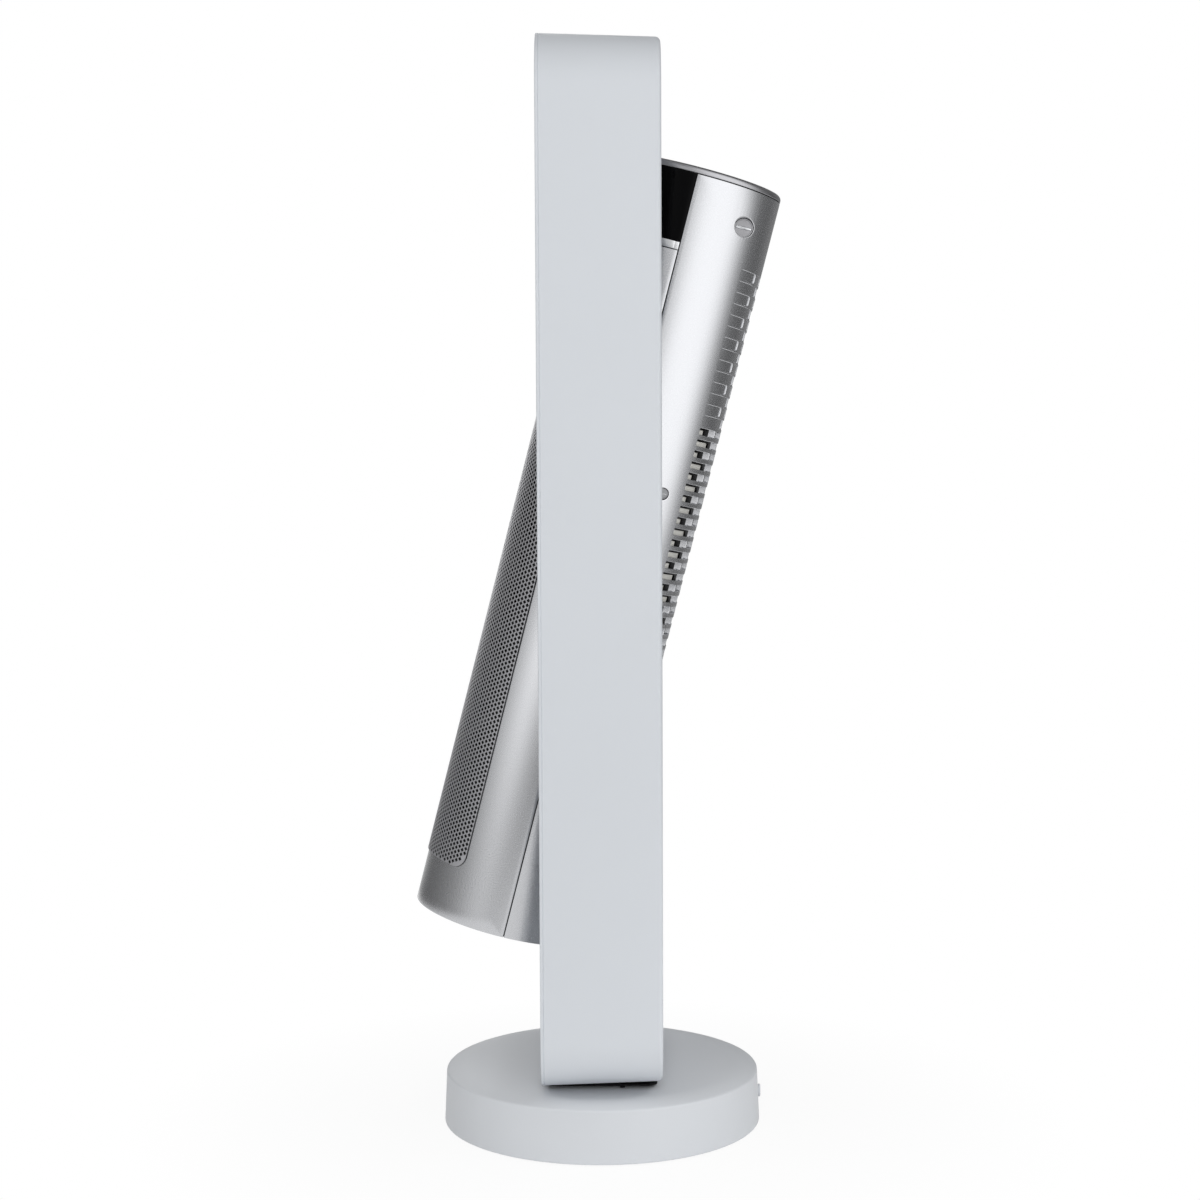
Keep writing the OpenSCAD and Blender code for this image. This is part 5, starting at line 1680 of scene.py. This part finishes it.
    def build_gasket(self) -> None:
        """Builds the black gasket between the punched sheet and the shell."""
        front = self.outlet_mesh
        lap = self.gasket_lap
        outer_r = front.outer_r - front.thick - self.gasket_gap
        sheet = BentSheet(Facing.FRONT, *front.ends, front.half_angle, outer_r=outer_r)
        wide = sheet.across(front.half_angle + math.degrees(lap / outer_r))
        side = sheet.across(self.outlet_half_angle)
        along = (sheet.s0 - lap, sheet.s1 + lap)
        whole = sheet.tile((-wide, wide), along, self.radius - outer_r, 0.0, front.corner)
        bore = self.gasket_bore
        hole = sheet.tile((-side, side), self.outlet_s, -bore, bore, self.outlet_corner)
        self.piece("outlet_gasket", BLACK_PLASTIC, Slot.DARK, "", sheet.bent(carved(whole, [hole])))

    def build_outlet_shade_plate(self) -> None:
        """Builds the black plate on the outlet's middle line, which hides the way through both sides:
        painted shade that keeps the outlet's inside dark.
        """
        near, far = self.shade_plate_y
        low, high = self.outlet_s
        rib = box((0, (near + far) / 2, (low + high) / 2), (self.shade_plate_t, far - near, high - low))
        bevel(rib, rib.edges[:], self.shade_plate_edge)
        # A black plate that paints the shade inside the outlet
        self.piece("outlet_shade_plate", BLACK_PLASTIC, Slot.DARK, "", rib)

    def build(self) -> None:
        """Builds every piece of the tube but its buttons."""
        self.build_rear()
        self.build_recesses()
        self.build_front()
        self.build_seams()
        self.build_window()
        self.build_cap()
        sheet = self.outlet_mesh.build()
        self.piece("outlet_mesh_sheet", MESH_PAINT, Slot.MESH, "outlet_mesh", sheet)
        self.build_gasket()
        self.build_outlet_shade_plate()
        # The net's black frame is partly painted shade in the slots
        self.piece("filter_frame", BLACK_PLASTIC, Slot.DARK, "", self.vents.frame())


@dataclass
class Pivots:
    """The two shafts on which the tube tilts, with the collars that show between tube and hoop.

    Attributes:
        flange_x: distances x of the flange's faces.
        collar: the collar's radius and the distance x of its end.
        journal: the same of the journal in the hoop.
    """

    bore_r: float = 5.0
    flange_r: float = 22.0
    flange_x: Span = (44.5, 48.5)
    collar: Span = (15.0, 73.8)
    journal: Span = (9.0, 88.3)
    edge: float = 0.4

    def build(self) -> None:
        """Lathes both shafts, from the flange in the tube to the clip in the hoop."""
        near, far = self.flange_x
        profile = [(self.bore_r, near), (self.flange_r, near), (self.flange_r, far)]
        for r, end in (self.collar, self.journal):
            profile += [(r, far), (r, end - self.edge), (r - self.edge, end)]
            far = end
        shaft = along_x(lathe(profile + [(self.bore_r, far)], 96), 0, TUBE.pivot_s)
        node = ("pivot_shafts",)
        piece = Piece("pivot_collars", Body.TUBE, CAP_PAINT, Slot.CAST, node, TUBE.place, 30)
        piece.install(mirrored(shaft))


INNER_FINISHES: dict[str, Finish] = {
    "base_plate": DARK_PLASTIC,
    "ballast_ring": IRON,
    "rubber_feet": RUBBER,
    "base_screws": ZINC,
    "osc_motor": MOTOR_STEEL,
    "osc_pinion": WHITE_NYLON,
    "tip_switch": BLACK_PLASTIC,
    "tip_plunger": RED_PLASTIC,
    "swivel_bearing": WHITE_NYLON,
    "swivel_gear": WHITE_NYLON,
    "neck_screws": ZINC,
    "hoop_screws": ZINC,
    "pivot_bushes": BLACK_PLASTIC,
    "friction_washers": GREY_PLASTIC,
    "pivot_clips": ZINC,
    "pivot_screws": ZINC,
    "bottom_cap": DARK_PLASTIC,
    "blower_frame": DARK_PLASTIC,
    "air_scroll": DARK_PLASTIC,
    "vortex_tongue": DARK_PLASTIC,
    "wheel_bearing": BRONZE,
    "blower_motor": MOTOR_STEEL,
    "heater_frame": DARK_PLASTIC,
    "heater_elements": CERAMIC,
    "heater_fins": FIN_METAL,
    "thermal_cutout": CERAMIC,
    "board_carrier": DARK_PLASTIC,
    "control_board": BOARD,
    "display_board": BOARD,
    "button_board": BOARD,
    "shell_screws": ZINC,
    "blower_wheel": ALUMINIUM,
    "dust_filter": FILTER_NET,
}


def dress_inner_nodes() -> None:
    """Gives each carried-over solid its own material."""
    for name, finish in INNER_FINISHES.items():
        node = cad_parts[name]
        node.data.materials.clear()
        node.data.materials.append(finish.build())
        LOG.info("%s: %s", name, finish.name)


@dataclass(frozen=True)
class TentWall:
    """One half of the studio's reflector tent: how bright it is by direction and height.

    Attributes:
        name: the wall's name.
        tones: pairs of direction in degrees from the camera's side and brightness.
        rises: pairs of height in metres and the factor on the brightness there.
    """

    name: str
    tones: tuple[Span, ...]
    rises: tuple[Span, ...]


REAR_WALL = TentWall(
    "reflector_rear",
    (
        (0, 0.6), (8, 0.78), (16, 1.12), (24, 1.56), (32, 1.72), (48, 1.74), (56, 1.72), (64, 1.72),
        (72, 1.45), (80, 0.98), (88, 0.47), (96, 0.2), (104, 0.11), (120, 0.09), (140, 0.2), (180, 0.35),
    ),
    ((0.0, 1.0), (1.3, 1.0), (1.9, 0.35)),
)
FRONT_WALL = TentWall(
    "reflector_front",
    (
        (-180, 1.5), (-165, 1.5), (-150, 0.8), (-140, 0.46), (-130, 0.24), (-120, 0.17), (-100, 0.2),
        (-80, 0.32), (-72, 0.42), (-64, 0.55), (-56, 0.76), (-40, 1.2), (-32, 1.16), (-24, 0.9),
        (-16, 0.7), (-8, 0.52), (0, 0.45),
    ),
    ((0.0, 0.58), (0.15, 0.62), (0.23, 0.84), (0.32, 1.25), (0.38, 1.4), (1.3, 1.4), (1.9, 0.4)),
)


@dataclass(frozen=True)
class Lamp:
    """A square lamp that gloss doesn't see.

    Attributes:
        name: its name.
        spot: its place in metres.
        aim: the point that it faces.
        size: its side in metres.
        power: its power in watts.
        spread: how wide it shines, in degrees.
    """

    name: str
    spot: Spot
    aim: Spot
    size: float
    power: float
    spread: float = 180.0

    def hang(self) -> None:
        """Adds the lamp to the scene."""
        data = bpy.data.lights.new(self.name, "AREA")
        data.size = self.size
        data.energy = self.power
        data.spread = math.radians(self.spread)
        lamp = bpy.data.objects.new(self.name, data)
        turn = (Vector(self.aim) - Vector(self.spot)).to_track_quat("-Z", "Y")
        lamp.matrix_world = Matrix.Translation(self.spot) @ turn.to_matrix().to_4x4()
        lamp.visible_glossy = False
        bpy.context.scene.collection.objects.link(lamp)


LAMPS = (
    Lamp("key", (2.1, 0.4, 0.62), (0.0, 0.0, 0.4), size=1.3, power=18.0),
    Lamp("foot_light", (0.14, -0.42, 0.42), (0.09, -0.05, 0.04), size=0.15, power=0.022, spread=40.0),
    Lamp("foot_light", (0.14, 0.42, 0.42), (0.09, 0.05, 0.04), size=0.15, power=0.03, spread=40.0),
)


@dataclass
class Studio:
    """Camera, lights, world, floor and the reflector tent that only gloss sees.

    Attributes:
        brightest: the tone that a full ramp stands for.
        world_light: brightness of the surround for all that isn't seen direct or in gloss.
        floor_half: half the floor's side in metres.
        floor_tone: the floor's own tone.
        shadow_reach: distances in metres between which the floor melts into white.
        shadow_glow: how much of the floor is white at the first of them.
    """

    location: Spot = (1.549, 0.0, 0.477)
    pitch: float = 4.654
    roll: float = -0.25
    lens: float = 70.08
    tent_r: float = 0.95
    tent_h: float = 2.4
    tent_steps: int = 48
    brightest: float = 2.0
    world_light: float = 0.52
    floor_half: float = 8.0
    floor_tone: float = 0.9
    shadow_reach: Span = (0.08, 0.32)
    shadow_glow: float = 0.9

    def build_camera(self) -> None:
        """Places the camera that took the photograph."""
        data = bpy.data.cameras.new("camera")
        data.lens = self.lens
        data.sensor_width = 36.0
        data.clip_start = 0.05
        data.clip_end = 50.0
        camera = bpy.data.objects.new("camera", data)
        aim = Euler((math.radians(90 - self.pitch), 0, math.radians(90))).to_matrix()
        roll = Matrix.Rotation(math.radians(self.roll), 3, "Z")
        camera.matrix_world = Matrix.Translation(self.location) @ (aim @ roll).to_4x4()
        bpy.context.scene.collection.objects.link(camera)
        bpy.context.scene.camera = camera

    def seen_rays(self, sheet: ShaderSheet) -> Any:
        """Adds the test for camera, gloss and glass rays.

        Args:
            sheet: the tree that needs the test.

        Returns:
            A socket that is one for such rays and zero for the others.
        """
        path = sheet.add("LightPath").outputs
        links = {0: path["Is Camera Ray"], 1: path["Is Glossy Ray"]}
        first = sheet.add("Math", {"operation": "MAXIMUM"}, links)
        links = {0: first.outputs["Value"], 1: path["Is Transmission Ray"]}
        return sheet.add("Math", {"operation": "MAXIMUM"}, links).outputs["Value"]

    def build_world(self) -> None:
        """A soft grey surround that camera, gloss and glass see as white."""
        world = bpy.data.worlds.new("studio")
        bpy.context.scene.world = world
        sheet = ShaderSheet(world, "OutputWorld")
        limits = {"To Min": self.world_light, "To Max": 1.0}
        level = sheet.add("MapRange", limits, {"Value": self.seen_rays(sheet)})
        back = sheet.add("Background", {"Color": (1, 1, 1, 1)}, {"Strength": level.outputs["Result"]})
        sheet.finish(back.outputs["Background"])

    def stand(self, name: str, mesh: Mesh, material: bpy.types.Material) -> bpy.types.Object:
        """Puts up one thing of the studio, which isn't part of the object.

        Args:
            name: its name.
            mesh: its mesh in metres, freed here.
            material: its material.

        Returns:
            The new object.
        """
        data = bpy.data.meshes.new(name)
        mesh.to_mesh(data)
        mesh.free()
        data.materials.append(material)
        item = bpy.data.objects.new(name, data)
        bpy.context.scene.collection.objects.link(item)
        return item

    def build_floor(self) -> None:
        """A pale floor that keeps the object's soft shadow and melts into the white surround."""
        mesh = bmesh.new()
        bmesh.ops.create_grid(mesh, x_segments=1, y_segments=1, size=self.floor_half)
        sheet = ShaderSheet(bpy.data.materials.new("Pale_studio_floor"))
        tone = (self.floor_tone,) * 3 + (1.0,)
        matt = sheet.add("BsdfPrincipled", {"Base Color": tone, "Roughness": 0.95})
        glow = sheet.add("Emission", {"Color": (1, 1, 1, 1), "Strength": 1.0})
        place = sheet.add("TexCoord")
        reach = sheet.add("VectorMath", {"operation": "LENGTH"}, {0: place.outputs["Object"]})
        near, far = self.shadow_reach
        limits = {"From Min": near, "From Max": far, "To Min": self.shadow_glow, "To Max": 1.0}
        white = sheet.add("MapRange", limits, {"Value": reach.outputs["Value"]})
        links = {0: white.outputs["Result"], 1: self.seen_rays(sheet)}
        share = sheet.add("Math", {"operation": "MULTIPLY"}, links)
        links = {0: share.outputs["Value"], 1: matt.outputs["BSDF"], 2: glow.outputs["Emission"]}
        self.stand("floor", mesh, sheet.finish(sheet.add("MixShader", None, links).outputs["Shader"]))

    def wall_tones(self, sheet: ShaderSheet, wall: TentWall) -> list[Any]:
        """Reads the wall's two tables, one by the direction and one by the height.

        Args:
            sheet: the wall's tree.
            wall: the half's tones.

        Returns:
            Two sockets, each with its tone as a share of the brightest.
        """
        place = sheet.add("TexCoord").outputs["Object"]
        turn = sheet.add("TexGradient", {"gradient_type": "RADIAL"}, {"Vector": place})
        axes = sheet.add("SeparateXYZ", None, {"Vector": place})
        share = sheet.add("Math", {"operation": "DIVIDE", 1: self.tent_h}, {0: axes.outputs["Z"]})
        tables = (
            (turn.outputs["Fac"], [(angle / 360 + 0.5, tone) for angle, tone in wall.tones]),
            (share.outputs["Value"], [(z / self.tent_h, tone) for z, tone in wall.rises]),
        )
        found = []
        for socket, stops in tables:
            node = sheet.add("ValToRGB", None, {"Fac": socket})
            elements = node.color_ramp.elements
            while len(elements) < len(stops):
                elements.new(1.0)
            for element, (spot, tone) in zip(elements, stops):
                element.position = min(1.0, max(0.0, spot))
                element.color = (tone / self.brightest,) * 3 + (1.0,)
            found.append(node.outputs["Color"])
        return found

    def build_wall(self, wall: TentWall) -> None:
        """Stands one half of the tent round the object, with its half of the ceiling, for gloss alone.

        Args:
            wall: the half's tones.
        """
        mesh = bmesh.new()
        corners = ((self.tent_r, 0.0), (self.tent_r, self.tent_h), (0.0, self.tent_h))
        points = [mesh.verts.new((x, 0, z)) for x, z in corners]
        lines = [mesh.edges.new(pair) for pair in zip(points, points[1:])]
        # The rear half's directions rise from zero, and the front half's rise to it
        way = 1 if wall.tones[-1][0] > 0 else -1
        bmesh.ops.spin(
            mesh,
            geom=points + lines,
            cent=(0, 0, 0),
            axis=(0, 0, way),
            angle=math.pi,
            steps=self.tent_steps,
        )
        bmesh.ops.remove_doubles(mesh, verts=mesh.verts[:], dist=0.0001)
        sheet = ShaderSheet(bpy.data.materials.new(wall.name))
        colour, rise = self.wall_tones(sheet, wall)
        power = sheet.add("Math", {"operation": "MULTIPLY", 1: self.brightest**2}, {0: rise})
        glow = sheet.add("Emission", None, {"Color": colour, "Strength": power.outputs["Value"]})
        item = self.stand(wall.name, mesh, sheet.finish(glow.outputs["Emission"]))
        item.visible_camera = False
        item.visible_diffuse = False
        item.visible_transmission = False
        item.visible_shadow = False
        item.visible_volume_scatter = False

    def build(self) -> None:
        """Builds the whole studio."""
        self.build_camera()
        self.build_world()
        self.build_floor()
        self.build_wall(REAR_WALL)
        self.build_wall(FRONT_WALL)
        for lamp in LAMPS:
            lamp.hang()
        bpy.context.scene.view_settings.view_transform = "Standard"


def main() -> None:
    """Builds the studio, the pieces and the inner solids' materials."""
    logging.basicConfig(level=logging.INFO, format="%(name)s: %(message)s")
    Studio().build()
    Base().build()
    Hoop().build()
    Neck().build()
    Tube().build()
    Pivots().build()
    Buttons().build()
    dress_inner_nodes()


if __name__ == "__main__":
    main()
